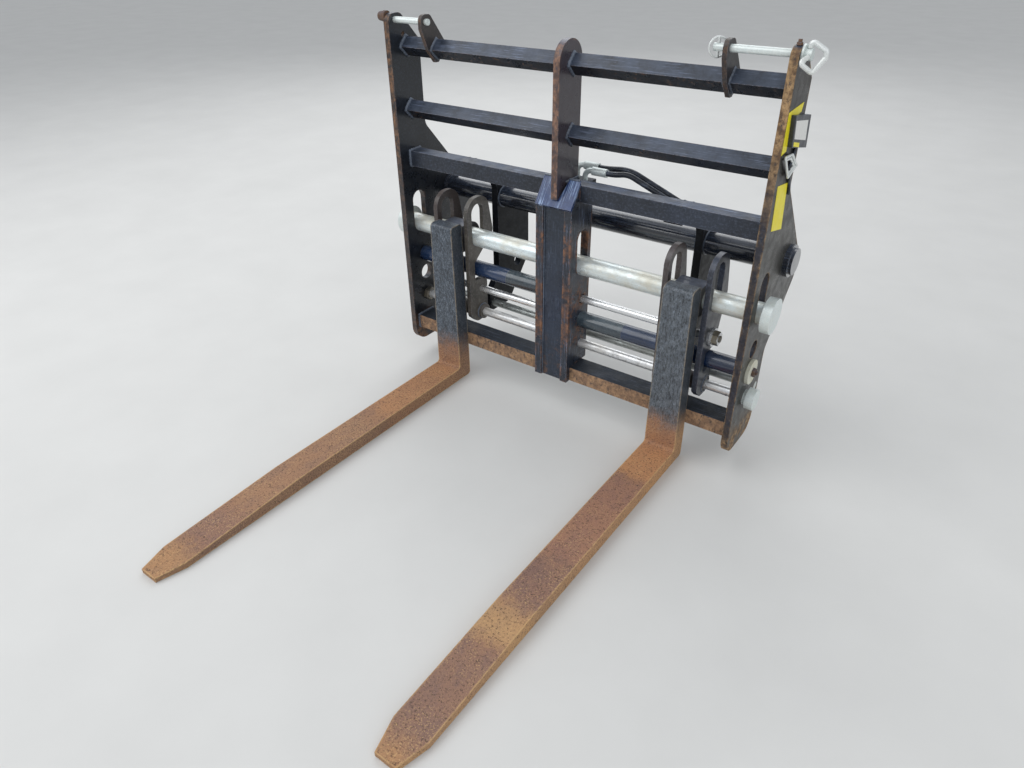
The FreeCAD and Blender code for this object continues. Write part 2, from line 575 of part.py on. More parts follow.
def manifold():
    """Block behind the beam that feeds both hoses."""
    return named(box("manifold", "manifold_x", "beam_y + beam_side", "beam_z", "manifold_l", "shelf_depth",
                     "manifold_h"), "manifold")


def coupler_shelf():
    """Shelf on the right hanger with a coupler for each hose."""
    low = "beam_z - shelf_drop"
    pieces = [box("shelf_plate", "hanger_x - hanger_t / 2 - shelf_l", "beam_y + beam_side", low, "shelf_l",
                  "shelf_depth", "shelf_t")]
    for row in range(2):
        coupler = doc.addObject("Part::Cylinder", f"coupler_{row}")
        bind(coupler, "Radius", "ferrule_r")
        bind(coupler, "Height", "coupler_l")
        x, y = coupler_place(row)
        place(coupler, x, y, f"{low} + shelf_t")
        pieces.append(coupler)
    return fused("coupler_shelf", pieces)


def fork(side):
    """Forged fork: bent bar with a tapered blade, a pointed nose and a shank that narrows upwards."""
    middle = FORK_X[side]
    back = "(lower_bar_y - bar_gap)"
    front = f"({back} - shank_t)"
    tip = f"({front} - fork_length)"
    corners = ((back, 0, "heel_outer_r"), (back, "shank_top", "shank_crown_r"),
               (front, "shank_top", "shank_crown_r"), (front, "heel_t", "heel_inner_r"),
               (f"{tip} + taper_l", "belly_t"), (tip, "tip_t"), (tip, 0))
    bar = plate(f"fork_{side}_bar", f"{middle} - fork_width / 2", "fork_width", corners)
    wedges = doc.addObject("PartDesign::Body", f"fork_{side}_nose")
    sketch = wedges.newObject("Sketcher::SketchObject", f"fork_{side}_nose_outline")
    sketch.AttachmentSupport = (plane(wedges, "XY_Plane"), [""])
    sketch.MapMode = "FlatFace"
    doc.recompute()
    for sign in ("", "-"):
        draw_outline(sketch, ((f"{sign}(fork_width / 2 + 1)", f"{tip} - 1"),
                              (f"{sign}(fork_width / 2 + 1)", f"{tip} + nose_length"),
                              (f"{sign}(fork_width / 2)", f"{tip} + nose_length"),
                              (f"{sign}(nose_width / 2)", tip), (f"{sign}(nose_width / 2)", f"{tip} - 1")))
    pad = wedges.newObject("PartDesign::Pad", f"fork_{side}_nose_pad")
    pad.Profile = sketch
    bind(pad, "Length", "heel_t")
    place(wedges, x=middle)
    cheeks = []
    for sign, name in (("", "right"), ("-", "left")):
        outline = ((f"{sign}(fork_width / 2)", "2 * heel_t"), (f"{sign}(fork_width / 2 + 1)", "2 * heel_t"),
                   (f"{sign}(fork_width / 2 + 1)", "shank_top + 1"),
                   (f"{sign}(shank_top_width / 2)", "shank_top + 1"))
        cheeks.append(upright_prism(f"fork_{side}_cheek_{name}", outline, middle, f"{front} - 1",
                                    "shank_t + 2"))
    return cut(f"fork_{side}", bar, fused(f"fork_{side}_cuts", [wedges] + cheeks))


def fork_eye(side):
    """Boss behind the shank that turns on the shaft."""
    middle = FORK_X[side]
    start = f"{middle} - eye_width / 2"
    back = "(lower_bar_y - bar_gap)"
    boss = rod(f"fork_eye_{side}_boss", start, "shaft_y", "shaft_z", "eye_r", "eye_width")
    web = box(f"fork_eye_{side}_web", start, back, "shaft_z - eye_web_z / 2", "eye_width",
              f"shaft_y - {back}", "eye_web_z")
    whole = fused(f"fork_eye_{side}_body", [boss, web])
    hole = rod(f"fork_eye_{side}_hole", start, "shaft_y", "shaft_z", "shaft_r + fit_gap", "eye_width")
    return cut(f"fork_eye_{side}", whole, hole)


def carrier_plate(side, place_name):
    """Ring plate of the positioner: slotted over the shaft, held to the rod and bored for the guide rod."""
    offset = "(fork_width / 2 + ring_gap)"
    if (side == "left") == (place_name == "inner"):
        x_left = f"{FORK_X[side]} + {offset}"
    else:
        x_left = f"{FORK_X[side]} - {offset} - ring_t"
    ring_r = "(shaft_r + ring_play + ring_edge)"
    top = f"shaft_z + slot_rise + {ring_r}"
    foot = "guide_z - carrier_back"
    back = "cylinder_y + carrier_back"
    neck = "shaft_y - ring_neck"
    notch_top = f"{BARREL_Z[side]} + barrel_r + barrel_room"
    notch_low = f"{BARREL_Z[side]} - barrel_r - barrel_room"
    lobe_z = f"{ROD_Z[side]} + piston_rod_r"
    lower = [(f"shaft_y - {ring_r}", f"{foot} + carrier_back", "ring_edge"),
             ("cylinder_y - carrier_back", foot, "ring_edge"), (back, foot, "ring_edge")]
    notch = [(back, notch_low, "barrel_room"), (neck, notch_low, "barrel_room"),
             (neck, notch_top, "barrel_room")]
    lobe = [("cylinder_y + carrier_lobe", lobe_z, "ring_edge")]
    ring = [("shaft_y + ring_flare", "shaft_z", "ring_edge"),
            (f"shaft_y + {ring_r}", top, f"{ring_r} - 0.5"), (f"shaft_y - {ring_r}", top, f"{ring_r} - 0.5")]
    corners = lower + notch + ring
    if side == "right":
        corners = lower + notch + [(back, notch_top, "barrel_room")] + lobe + ring
    holes = [("cylinder_y", "guide_z", "sleeve_r + fit_gap"),
             ("cylinder_y", ROD_Z[side], "piston_rod_r + fit_gap")]
    return plate(f"carrier_{side}_{place_name}", x_left, "ring_t", corners, holes,
                 (("shaft_y", "shaft_z", "shaft_r + ring_play", "slot_rise"),))


def carrier_sleeve(side):
    """Sleeve on the guide rod, welded into both ring plates, longer on the column's side."""
    half = "(fork_width / 2 + ring_gap + ring_t)"
    start = f"{FORK_X[side]} - {half}" + (" - sleeve_past" if side == "right" else "")
    length = f"2 * {half} + sleeve_past"
    body = rod(f"carrier_{side}_sleeve_body", start, "cylinder_y", "guide_z", "sleeve_r", length)
    hole = rod(f"carrier_{side}_sleeve_hole", start, "cylinder_y", "guide_z", "guide_r + fit_gap", length)
    return cut(f"carrier_{side}_sleeve", body, hole)


def piston_rod(side):
    """Rod that leaves the far cylinder, passes both ring plates and ends in a washer and nut."""
    name = "lower" if side == "left" else "upper"
    sign = "-" if side == "left" else "+"
    face = f"({FORK_X[side]} {sign} (fork_width / 2 + ring_gap + ring_t))"
    seat = f"({face} {sign} rod_washer_t)"
    end = f"({seat} {sign} rod_nut_t)"
    inner_end = "(column_half + rod_inside)" if side == "left" else "-(column_half + rod_inside)"
    sections = (("bar", inner_end, end, "piston_rod_r"), ("washer", face, seat, "rod_washer_r"),
                ("nut", seat, end, "rod_nut_r"))
    solids = []
    for piece, near, far, radius in sections:
        low, high = (far, near) if side == "left" else (near, far)
        solids.append(rod(f"{name}_rod_{piece}", low, "cylinder_y", ROD_Z[side], radius, f"{high} - ({low})"))
    return fused(f"{name}_piston_rod", solids)


parts = []
for side in ("left", "right"):
    parts += [side_plate(side), column_flange(side), hanger(side), hook_cap(side), shaft_cap(side),
              barrel(side), gland(side), anchor_disc(side), pin_ear(side), fork(side), fork_eye(side),
              carrier_plate(side, "outer"), carrier_plate(side, "inner"), carrier_sleeve(side),
              piston_rod(side)]
for row, name in enumerate(("front", "rear")):
    parts += [hose_fitting(name, row), hose(name, row)]
parts += [diamond_bar("top_bar", TOP_BAR_Z), diamond_bar("middle_bar", MIDDLE_BAR_Z), centre_plate(),
          column_web(), column_cap(), hook_tube(), fork_shaft(), guide_rod(), guide_nut(), guide_block(),
          tie_tube(), left_pin(), right_pin(), lynch_pin(), pull_handle(), manifold(), coupler_shelf()]
parts += [cross_tube("upper_beam", "beam_y", "beam_z", "beam_side", "beam_side"),
          cross_tube("lower_bar", "lower_bar_y", "lower_bar_z", "lower_bar_depth", "lower_bar_height")]
doc.recompute()

for part in parts:
    shape = part.Shape
    if shape.isNull() or not shape.isValid() or {"Invalid", "Error"} & set(part.State):
        raise RuntimeError(f"{part.Label} is not sound: {part.State}")
    shape.exportStep(f"parts/{part.Label}.step")
    print(f"{part.Label}: {len(shape.Solids)} solid, {shape.Volume / 1e6:.3f} dm3")
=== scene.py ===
import math
import random

import bmesh
import bpy
from mathutils import Matrix, Vector


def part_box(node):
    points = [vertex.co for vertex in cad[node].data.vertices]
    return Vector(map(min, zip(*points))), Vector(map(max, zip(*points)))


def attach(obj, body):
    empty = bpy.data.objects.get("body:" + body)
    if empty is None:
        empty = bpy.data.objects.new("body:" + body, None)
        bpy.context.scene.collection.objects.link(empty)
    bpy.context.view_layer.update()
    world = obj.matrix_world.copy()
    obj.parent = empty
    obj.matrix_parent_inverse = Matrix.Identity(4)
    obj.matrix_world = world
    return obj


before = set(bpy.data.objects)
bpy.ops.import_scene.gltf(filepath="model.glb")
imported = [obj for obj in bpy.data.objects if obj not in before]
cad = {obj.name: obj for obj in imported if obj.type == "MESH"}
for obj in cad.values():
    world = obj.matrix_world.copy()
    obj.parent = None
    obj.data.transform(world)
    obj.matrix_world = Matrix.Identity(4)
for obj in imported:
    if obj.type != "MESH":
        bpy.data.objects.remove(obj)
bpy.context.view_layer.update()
random.seed(7)

# sizes read from the CAD nodes, in metres
leftPlate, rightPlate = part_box("side_plate_left"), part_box("side_plate_right")
middleX = (leftPlate[0].x + rightPlate[1].x) / 2
edgeY = leftPlate[0].y  # front edges of the side plates
plateFace = rightPlate[0].x - middleX
plateOuter = rightPlate[1].x - middleX


def at(x, y, z):
    # millimetres from the column's middle, the plates' front edges and the ground
    return Vector((middleX + x / 1000, edgeY + y / 1000, z / 1000))


def inPlate(node):
    # a node's box in the same millimetres
    low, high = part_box(node)
    start = at(0, 0, 0)
    return (low - start) * 1000, (high - start) * 1000


def axisOf(node):
    # Y and Z of the axis of a round node that lies along X
    low, high = inPlate(node)
    return (low.y + high.y) / 2, (low.z + high.z) / 2


def tint(red, green, blue):
    # a colour as seen on screen, 0 to 255
    return tuple((c / 255 / 12.92) if c <= 10 else ((c / 255 + 0.055) / 1.055) ** 2.4
                 for c in (red, green, blue)) + (1,)


# node helpers for the finishes

def startFinish(name):
    finish = bpy.data.materials.new(name)
    finish.use_nodes = True
    tree = finish.node_tree
    tree.nodes.clear()
    output = tree.nodes.new("ShaderNodeOutputMaterial")
    shader = tree.nodes.new("ShaderNodeBsdfPrincipled")
    tree.links.new(shader.outputs[0], output.inputs[0])
    return finish, tree, shader


def put(tree, kind, inputs=None, **settings):
    made = tree.nodes.new("ShaderNode" + kind)
    for key, value in settings.items():
        setattr(made, key, value)
    for key, value in (inputs or {}).items():
        if hasattr(value, "is_output"):
            tree.links.new(value, made.inputs[key])
        else:
            made.inputs[key].default_value = value
    return made


def place3d(tree, scale=(1, 1, 1)):
    spot = put(tree, "TexCoord")
    return put(tree, "Mapping", {0: spot.outputs["Object"], "Scale": scale}).outputs[0]


def grain(tree, scale, detail=4, rough=0.55, stretch=(1, 1, 1), warp=0.0):
    # noise about 0.5; a larger scale is finer, a stretch below 1 draws it out along that axis
    return put(tree, "TexNoise", {"Vector": place3d(tree, stretch), "Scale": scale, "Detail": detail,
                                  "Roughness": rough, "Distortion": warp}).outputs[0]


def fade(tree, value, start, end, low=0.0, high=1.0):
    # 0 to 1 between start and end, smoothly; start may be the larger
    inputs = {0: value, 1: start, 2: end, 3: low, 4: high}
    return put(tree, "MapRange", inputs, interpolation_type="SMOOTHSTEP").outputs[0]


def sums(tree, operation, first, second):
    return put(tree, "Math", {0: first, 1: second}, operation=operation, use_clamp=True).outputs[0]


def times(tree, *factors):
    product = factors[0]
    for factor in factors[1:]:
        product = sums(tree, "MULTIPLY", product, factor)
    return product


def most(tree, first, second):
    return sums(tree, "MAXIMUM", first, second)


def blendColour(tree, amount, under, over):
    mixer = put(tree, "Mix", data_type="RGBA")
    for index, value in ((0, amount), (6, under), (7, over)):
        if hasattr(value, "is_output"):
            tree.links.new(value, mixer.inputs[index])
        else:
            mixer.inputs[index].default_value = value
    return mixer.outputs[2]


def facing(tree, axis):
    # how far the surface faces along an object axis, -1 to 1
    spot = put(tree, "TexCoord")
    return put(tree, "SeparateXYZ", {0: spot.outputs["Normal"]}).outputs["XYZ".index(axis)]


def height(tree, axis="Z"):
    spot = put(tree, "TexCoord")
    return put(tree, "SeparateXYZ", {0: spot.outputs["Object"]}).outputs["XYZ".index(axis)]


def cornerWear(tree, radius):
    # 1 along sharp edges, from the difference between the rounded and the true normal
    rounded = put(tree, "Bevel", {"Radius": radius}, samples=6)
    normals = {0: rounded.outputs[0], 1: put(tree, "NewGeometry").outputs["Normal"]}
    likeness = put(tree, "VectorMath", normals, operation="DOT_PRODUCT")
    return fade(tree, likeness.outputs["Value"], 0.995, 0.86)


def relief(tree, shader, level, strength, distance=0.001, soften=0.0):
    bump = put(tree, "Bump", {"Height": level, "Strength": strength, "Distance": distance})
    if soften:
        rounded = put(tree, "Bevel", {"Radius": soften}, samples=6)
        tree.links.new(rounded.outputs[0], bump.inputs["Normal"])
    tree.links.new(bump.outputs[0], shader.inputs["Normal"])


paintSettings = {
    # base coat, its lighter clouds, and the pale dust on top faces, partly a painted sky sheen
    "colour": tint(30, 34, 42), "blush": tint(44, 51, 64),
    "dustAndSkySheen": tint(104, 118, 142), "dustAndSkySheenAmount": 0.5,
    # gloss is a roughness; film is the share of thin pale speckle all over
    "gloss": 0.3, "coat": 0.25, "coatRough": 0.12, "specular": 0.5, "film": 0.16, "bump": 0.4,
    # undersides in the shade: share and colour
    "underDark": 0.5, "shade": tint(14, 15, 18),
    # worn corners: reach in metres, share and colour of pale bare edges that also serve as painted edge
    # highlights, share of rust, wider flaked rust
    "wear": 0.003, "edgeWearAndHighlight": 0.6, "edgeWearAndHighlightColour": tint(132, 142, 160), "edgeRust": 0.35, "edgePatch": 0.0,
    # scratches: direction, share, how far they keep to top faces, noise size, threshold, stretch, colour
    "scratchAxis": "Z", "scratchAmount": 0.0, "scratchTop": 0.0, "scratchGrain": 380,
    "scratchFrom": 0.54, "scratchStretch": 0.035, "scratchColour": tint(140, 154, 184),
    # rust on front faces: share, height where it grows strong, gaps, share below; at the foot: from, to
    "frontRust": 0.0, "frontAbove": None, "frontGaps": 0.38, "frontLow": 0.35, "lowRust": None,
    # rust in a band: bottom, top, share; at heights: (height, reach); in patches; on undersides
    "rustBand": None, "spotHeights": (), "patches": 0.0, "patchSize": 11, "underRust": 0.0,
    # dried mud on the outer side, 1 for +X and -1 for -X, with its colours high and low
    "outerFilm": 0.0, "outerSide": 1, "outerHigh": tint(42, 38, 35), "outerLow": tint(50, 49, 45),
    "outerSpeck": tint(84, 81, 74),
    "rustDark": tint(66, 50, 42), "rustLight": tint(142, 104, 74), "rustSpeck": tint(46, 38, 36),
}


def rustColours(tree, s):
    # brown to orange, patchy and speckled
    patchy = fade(tree, grain(tree, 60, 8, 0.76), 0.42, 0.6)
    broad = blendColour(tree, patchy, s["rustDark"], s["rustLight"])
    specks = fade(tree, grain(tree, 240, 6, 0.78), 0.5, 0.62, 0, 0.6)
    return blendColour(tree, specks, broad, s["rustSpeck"])


def paintRust(tree, s):
    # where the paint has gone: edges, patches, front faces, undersides and the foot
    broken = fade(tree, grain(tree, 90, 8, 0.76), 0.44, 0.56)
    rusty = times(tree, cornerWear(tree, s["wear"]), broken, s["edgeRust"])
    if s["edgePatch"]:
        flaked = fade(tree, grain(tree, 24, 9, 0.76), 0.5, 0.56, 0, s["edgePatch"])
        rusty = most(tree, rusty, times(tree, cornerWear(tree, 0.016), flaked))
    for level, reach in s["spotHeights"]:
        spot = times(tree, fade(tree, height(tree), level - reach, level - reach / 2),
                     fade(tree, height(tree), level + reach, level + reach / 2), cornerWear(tree, 0.03))
        rusty = most(tree, rusty, times(tree, spot, fade(tree, grain(tree, 30, 9, 0.78), 0.42, 0.5)))
    if s["patches"]:
        cloud = grain(tree, s["patchSize"], 9, 0.74, warp=0.5)
        spots = fade(tree, cloud, 0.66 - 0.12 * s["patches"], 0.71)
        rusty = most(tree, rusty, times(tree, spots, 0.9))
    if s["rustBand"]:
        bottom, top, amount = s["rustBand"]
        level = height(tree)
        above = fade(tree, level, bottom - 0.04, bottom + 0.02)
        below = fade(tree, level, top + 0.05, top - 0.02)
        flecks = fade(tree, grain(tree, 22, 9, 0.78), 0.5, 0.58)
        rusty = most(tree, rusty, times(tree, above, below, flecks, amount))
    if s["frontRust"]:
        flecks = grain(tree, 90, 9, 0.78, (1, 1, 0.5))
        front = times(tree, fade(tree, facing(tree, "Y"), -0.35, -0.8), s["frontRust"],
                      fade(tree, flecks, s["frontGaps"], s["frontGaps"] + 0.16))
        if s["frontAbove"]:
            start, end = s["frontAbove"] - 0.16, s["frontAbove"] + 0.1
            front = times(tree, front, fade(tree, height(tree), start, end, s["frontLow"], 1))
        rusty = most(tree, rusty, front)
    if s["underRust"]:
        under = times(tree, fade(tree, facing(tree, "Z"), -0.1, -0.6),
                      fade(tree, grain(tree, 95, 9, 0.78), 0.54, 0.62),
                      fade(tree, grain(tree, 9, 6, 0.7), 0.4, 0.6), s["underRust"])
        rusty = most(tree, rusty, under)
    if s["lowRust"]:
        high, low = s["lowRust"]
        flecks = fade(tree, grain(tree, 21, 9, 0.74), 0.38, 0.58)
        rusty = most(tree, rusty, times(tree, fade(tree, height(tree), high, low), flecks))
    return rusty


def wornPaint(name, **changes):
    s = dict(paintSettings, **changes)
    finish, tree, shader = startFinish(name)
    colour = blendColour(tree, fade(tree, grain(tree, 5, 4), 0.35, 0.7), s["colour"], s["blush"])
    # top faces lightened pale blue: dust and a painted sky sheen in one
    upward = fade(tree, facing(tree, "Z"), 0.25, 0.95)
    dustAndSkySheenMask = times(tree, upward, fade(tree, grain(tree, 19, 8, 0.66), 0.2, 0.75))
    colour = blendColour(tree, times(tree, dustAndSkySheenMask, s["dustAndSkySheenAmount"]), colour, s["dustAndSkySheen"])
    # painted shade: undersides darkened towards the shade colour
    below = fade(tree, facing(tree, "Z"), -0.2, -0.7, 0, s["underDark"])
    colour = blendColour(tree, below, colour, s["shade"])
    film = fade(tree, grain(tree, 130, 8, 0.78), 0.47, 0.66)  # thin pale speckled film all over
    colour = blendColour(tree, times(tree, film, s["film"]), colour, s["dustAndSkySheen"])
    if s["outerFilm"]:
        outward = facing(tree, "X")
        outer = times(tree, fade(tree, outward, 0.6 * s["outerSide"], 0.9 * s["outerSide"]),
                      fade(tree, grain(tree, 8, 8, 0.68), 0.05, 0.55), s["outerFilm"])
        dried = blendColour(tree, fade(tree, height(tree), 0.88, 0.72), s["outerHigh"], s["outerLow"])
        mottled = fade(tree, grain(tree, 150, 6, 0.74), 0.4, 0.7, 0, 0.35)
        colour = blendColour(tree, outer, colour, blendColour(tree, mottled, dried, s["outerSpeck"]))
    if s["scratchAmount"]:
        drawn = s["scratchStretch"]
        stretch = {"X": (drawn, 1, 1), "slope": (1, drawn, drawn), "Z": (1, 1, drawn)}[s["scratchAxis"]]
        strokes = grain(tree, s["scratchGrain"], 4, 0.68, stretch)
        lines = fade(tree, strokes, s["scratchFrom"], 0.66)
        where = fade(tree, grain(tree, 12, 5, 0.62), 0.34, 0.62)
        lines = times(tree, lines, where, s["scratchAmount"])
        if s["scratchTop"]:
            lines = times(tree, lines, fade(tree, facing(tree, "Z"), 0.2, 0.8, 1 - s["scratchTop"], 1))
        colour = blendColour(tree, lines, colour, s["scratchColour"])
    # pale corners: worn bare steel and painted edge highlights
    chipped = fade(tree, grain(tree, 120, 7, 0.74), 0.4, 0.55)
    pale = times(tree, cornerWear(tree, s["wear"] * 0.8), chipped, s["edgeWearAndHighlight"])
    colour = blendColour(tree, pale, colour, s["edgeWearAndHighlightColour"])
    rusty = paintRust(tree, s)
    colour = blendColour(tree, rusty, colour, rustColours(tree, s))
    tree.links.new(colour, shader.inputs["Base Color"])
    dull = times(tree, most(tree, rusty, times(tree, dustAndSkySheenMask, 0.5)), 0.42)
    sheen = fade(tree, grain(tree, 34, 7, 0.6), 0.3, 0.7, s["gloss"] - 0.06, s["gloss"] + 0.12)
    tree.links.new(sums(tree, "ADD", sheen, dull), shader.inputs["Roughness"])
    shader.inputs["Specular IOR Level"].default_value = s["specular"]
    shader.inputs["Coat Weight"].default_value = s["coat"]
    shader.inputs["Coat Roughness"].default_value = s["coatRough"]
    pitted = times(tree, rusty, grain(tree, 360, 6, 0.75))
    level = sums(tree, "ADD", times(tree, grain(tree, 170, 6, 0.66), 0.4), pitted)
    relief(tree, shader, level, s["bump"], 0.0012, 0.0014)
    return finish


metalSettings = {
    # brush is the stretch of the strokes, streak the brightness of the darker ones
    "colour": tint(226, 225, 221), "brush": (0.02, 1, 1), "streak": 0.84, "relief": 0.12,
    "rough": 0.3, "metal": 0.9,
    # shares of stain, rust, pale frost and grime, each with its colour
    "stainAmount": 0.35, "stain": tint(182, 160, 108), "rustAmount": 0.2, "rust": tint(134, 90, 56),
    "frost": 0.0, "frostColour": tint(232, 236, 232), "grime": 0.0, "grimeColour": tint(74, 70, 64),
}


def bareMetal(name, **changes):
    s = dict(metalSettings, **changes)
    finish, tree, shader = startFinish(name)
    brushed = grain(tree, 260, 5, 0.66, s["brush"])
    darker = tuple(c * s["streak"] for c in s["colour"][:3]) + (1,)
    colour = blendColour(tree, fade(tree, brushed, 0.3, 0.7), darker, s["colour"])
    stain = times(tree, fade(tree, grain(tree, 8, 7, 0.68, (0.6, 1, 1)), 0.42, 0.66), s["stainAmount"])
    colour = blendColour(tree, stain, colour, s["stain"])
    if s["frost"]:
        bloom = fade(tree, grain(tree, 120, 7, 0.74), 0.35, 0.65, 0, s["frost"])
        colour = blendColour(tree, bloom, colour, s["frostColour"])
    if s["grime"]:
        grime = fade(tree, grain(tree, 52, 9, 0.76), 0.5, 0.68, 0, s["grime"])
        colour = blendColour(tree, grime, colour, s["grimeColour"])
    rust = times(tree, fade(tree, grain(tree, 23, 9, 0.76), 0.57, 0.7), s["rustAmount"])
    colour = blendColour(tree, rust, colour, s["rust"])
    tree.links.new(colour, shader.inputs["Base Color"])
    shader.inputs["Metallic"].default_value = s["metal"]
    rough = fade(tree, grain(tree, 40, 6), 0.3, 0.7, s["rough"] - 0.05, s["rough"] + 0.09)
    rough = sums(tree, "ADD", rough, times(tree, most(tree, rust, stain), 0.4))
    tree.links.new(rough, shader.inputs["Roughness"])
    if s["relief"]:
        relief(tree, shader, brushed, s["relief"], 0.0004, 0.001)
    return finish


forkSettings = {
    # heights in metres between which paint gives way to rust, and how raggedly it does
    "paintAbove": 0.19, "rustBelow": 0.08, "wander": 0.16,
    "leftPaint": tint(64, 74, 86), "rightPaint": tint(96, 102, 108),
    "paintLight": tint(122, 132, 144), "paintDark": tint(32, 36, 42), "rubbed": tint(150, 138, 120),
    "rust": tint(162, 120, 92), "rustDeep": tint(136, 104, 90), "gold": tint(212, 174, 124),
    "pits": tint(70, 54, 48), "wobble": 0.13,
    # stretches of the blade's top, their ends moved about by the wobble: from, to in millimetres
    # from the plates' front edges, colour, share
    "right": ((-1260, -1190, tint(200, 154, 106), 0.45), (-1190, -906, tint(140, 112, 102), 0.55),
              (-900, -786, tint(208, 168, 118), 0.55), (-790, -600, tint(132, 104, 98), 0.55),
              (-600, -230, tint(166, 122, 104), 0.5), (-215, -40, tint(204, 146, 98), 0.7)),
    "left": ((-1260, -1120, tint(192, 148, 102), 0.45), (-1100, -960, tint(132, 104, 98), 0.5),
             (-950, -420, tint(166, 130, 102), 0.45), (-400, -40, tint(190, 138, 96), 0.6)),
    "sideRight": tint(196, 154, 108), "sideLeft": tint(130, 102, 82), "sideShare": 0.6,
}


def forkSteel(name, side):
    s = forkSettings
    finish, tree, shader = startFinish(name)
    mottle = grain(tree, 230, 9, 0.82, (1, 1, 0.6))
    paint = blendColour(tree, fade(tree, mottle, 0.46, 0.6), s[side + "Paint"], s["paintLight"])
    strokes = fade(tree, grain(tree, 300, 8, 0.8, (1, 1, 0.22)), 0.48, 0.58, 0, 0.8)
    paint = blendColour(tree, strokes, paint, s["paintDark"])
    cloudy = fade(tree, grain(tree, 26, 6, 0.7), 0.42, 0.62, 0, 0.35)
    paint = blendColour(tree, cloudy, paint, s["paintDark"])
    sideways = put(tree, "Math", {0: facing(tree, "X")}, operation="ABSOLUTE").outputs[0]
    paint = blendColour(tree, fade(tree, sideways, 0.5, 0.9, 0, 0.45), paint, s["paintDark"])
    edges = cornerWear(tree, 0.008)
    rubbed = times(tree, edges, fade(tree, grain(tree, 70, 8, 0.76), 0.4, 0.52, 0.3, 1))
    paint = blendColour(tree, rubbed, paint, s["rubbed"])
    broad = fade(tree, grain(tree, 16, 9, 0.76, (1, 0.6, 1)), 0.42, 0.6)
    rust = blendColour(tree, broad, s["rust"], s["rustDeep"])
    shift = {0: grain(tree, 30, 9, 0.78), 1: s["wobble"]}
    wobble = put(tree, "Math", shift, operation="MULTIPLY").outputs[0]
    along = put(tree, "Math", {0: height(tree, "Y"), 1: wobble}, operation="ADD").outputs[0]
    for start, end, colour, share in s[side]:
        first, last = (edgeY + edge / 1000 + s["wobble"] / 2 for edge in (start, end))
        stretch = times(tree, fade(tree, along, first - 0.03, first + 0.03),
                        fade(tree, along, last + 0.05, last - 0.05))
        rust = blendColour(tree, times(tree, stretch, share), rust, colour)
    flank = s["sideRight"] if side == "right" else s["sideLeft"]
    rust = blendColour(tree, fade(tree, sideways, 0.5, 0.9, 0, s["sideShare"]), rust, flank)
    golden = fade(tree, grain(tree, 240, 7, 0.8), 0.52, 0.6, 0, 0.9)
    golden = times(tree, golden, fade(tree, grain(tree, 11, 6, 0.7), 0.4, 0.62, 0.25, 1))
    rust = blendColour(tree, golden, rust, s["gold"])
    rust = blendColour(tree, fade(tree, grain(tree, 180, 8, 0.8), 0.53, 0.6, 0, 0.85), rust, s["pits"])
    rims = times(tree, edges, fade(tree, grain(tree, 70, 8, 0.76), 0.38, 0.52, 0.2, 0.9))
    rust = blendColour(tree, rims, rust, s["gold"])
    shift = {0: grain(tree, 22, 9, 0.74), 1: s["wander"]}
    wander = put(tree, "Math", shift, operation="MULTIPLY").outputs[0]
    ragged = put(tree, "Math", {0: height(tree), 1: wander}, operation="ADD").outputs[0]
    low = fade(tree, ragged, s["paintAbove"] + s["wander"] / 2, s["rustBelow"] + s["wander"] / 2)
    tree.links.new(blendColour(tree, low, paint, rust), shader.inputs["Base Color"])
    tree.links.new(fade(tree, low, 0, 1, 0.42, 0.82), shader.inputs["Roughness"])
    level = sums(tree, "ADD", times(tree, mottle, 0.5), times(tree, low, grain(tree, 420, 7, 0.78)))
    relief(tree, shader, level, 0.6, 0.0016, 0.002)
    return finish


rubberSettings = {"colour": tint(34, 39, 49), "pale": tint(84, 94, 112), "rough": 0.32}


def hoseRubber(name):
    s = rubberSettings
    finish, tree, shader = startFinish(name)
    spiral = {"Vector": place3d(tree), "Scale": 160, "Distortion": 0.4}
    wrap = put(tree, "TexWave", spiral, bands_direction="X")
    scuffed = fade(tree, grain(tree, 45, 7, 0.7, (0.4, 1, 1)), 0.45, 0.72)
    tree.links.new(blendColour(tree, scuffed, s["colour"], s["pale"]), shader.inputs["Base Color"])
    rough = fade(tree, grain(tree, 60), 0.3, 0.7, s["rough"] - 0.1, s["rough"] + 0.1)
    tree.links.new(rough, shader.inputs["Roughness"])
    relief(tree, shader, wrap.outputs[1], 0.2, 0.0004)
    return finish


foilSettings = {  # finish: colour, share of dirt
    "yellowLabel": (tint(244, 228, 34), 0.2), "whiteLabel": (tint(232, 232, 228), 0.15),
    "dirt": tint(104, 96, 70),
}


def blankLabel(name):
    finish, tree, shader = startFinish(name)
    colour, share = foilSettings[name]
    dirt = fade(tree, grain(tree, 70, 9, 0.76), 0.5, 0.72, 0, share)
    tree.links.new(blendColour(tree, dirt, colour, foilSettings["dirt"]), shader.inputs["Base Color"])
    tree.links.new(fade(tree, grain(tree, 50), 0.3, 0.7, 0.32, 0.5), shader.inputs["Roughness"])
    relief(tree, shader, grain(tree, 240, 4), 0.15, 0.0004)
    return finish


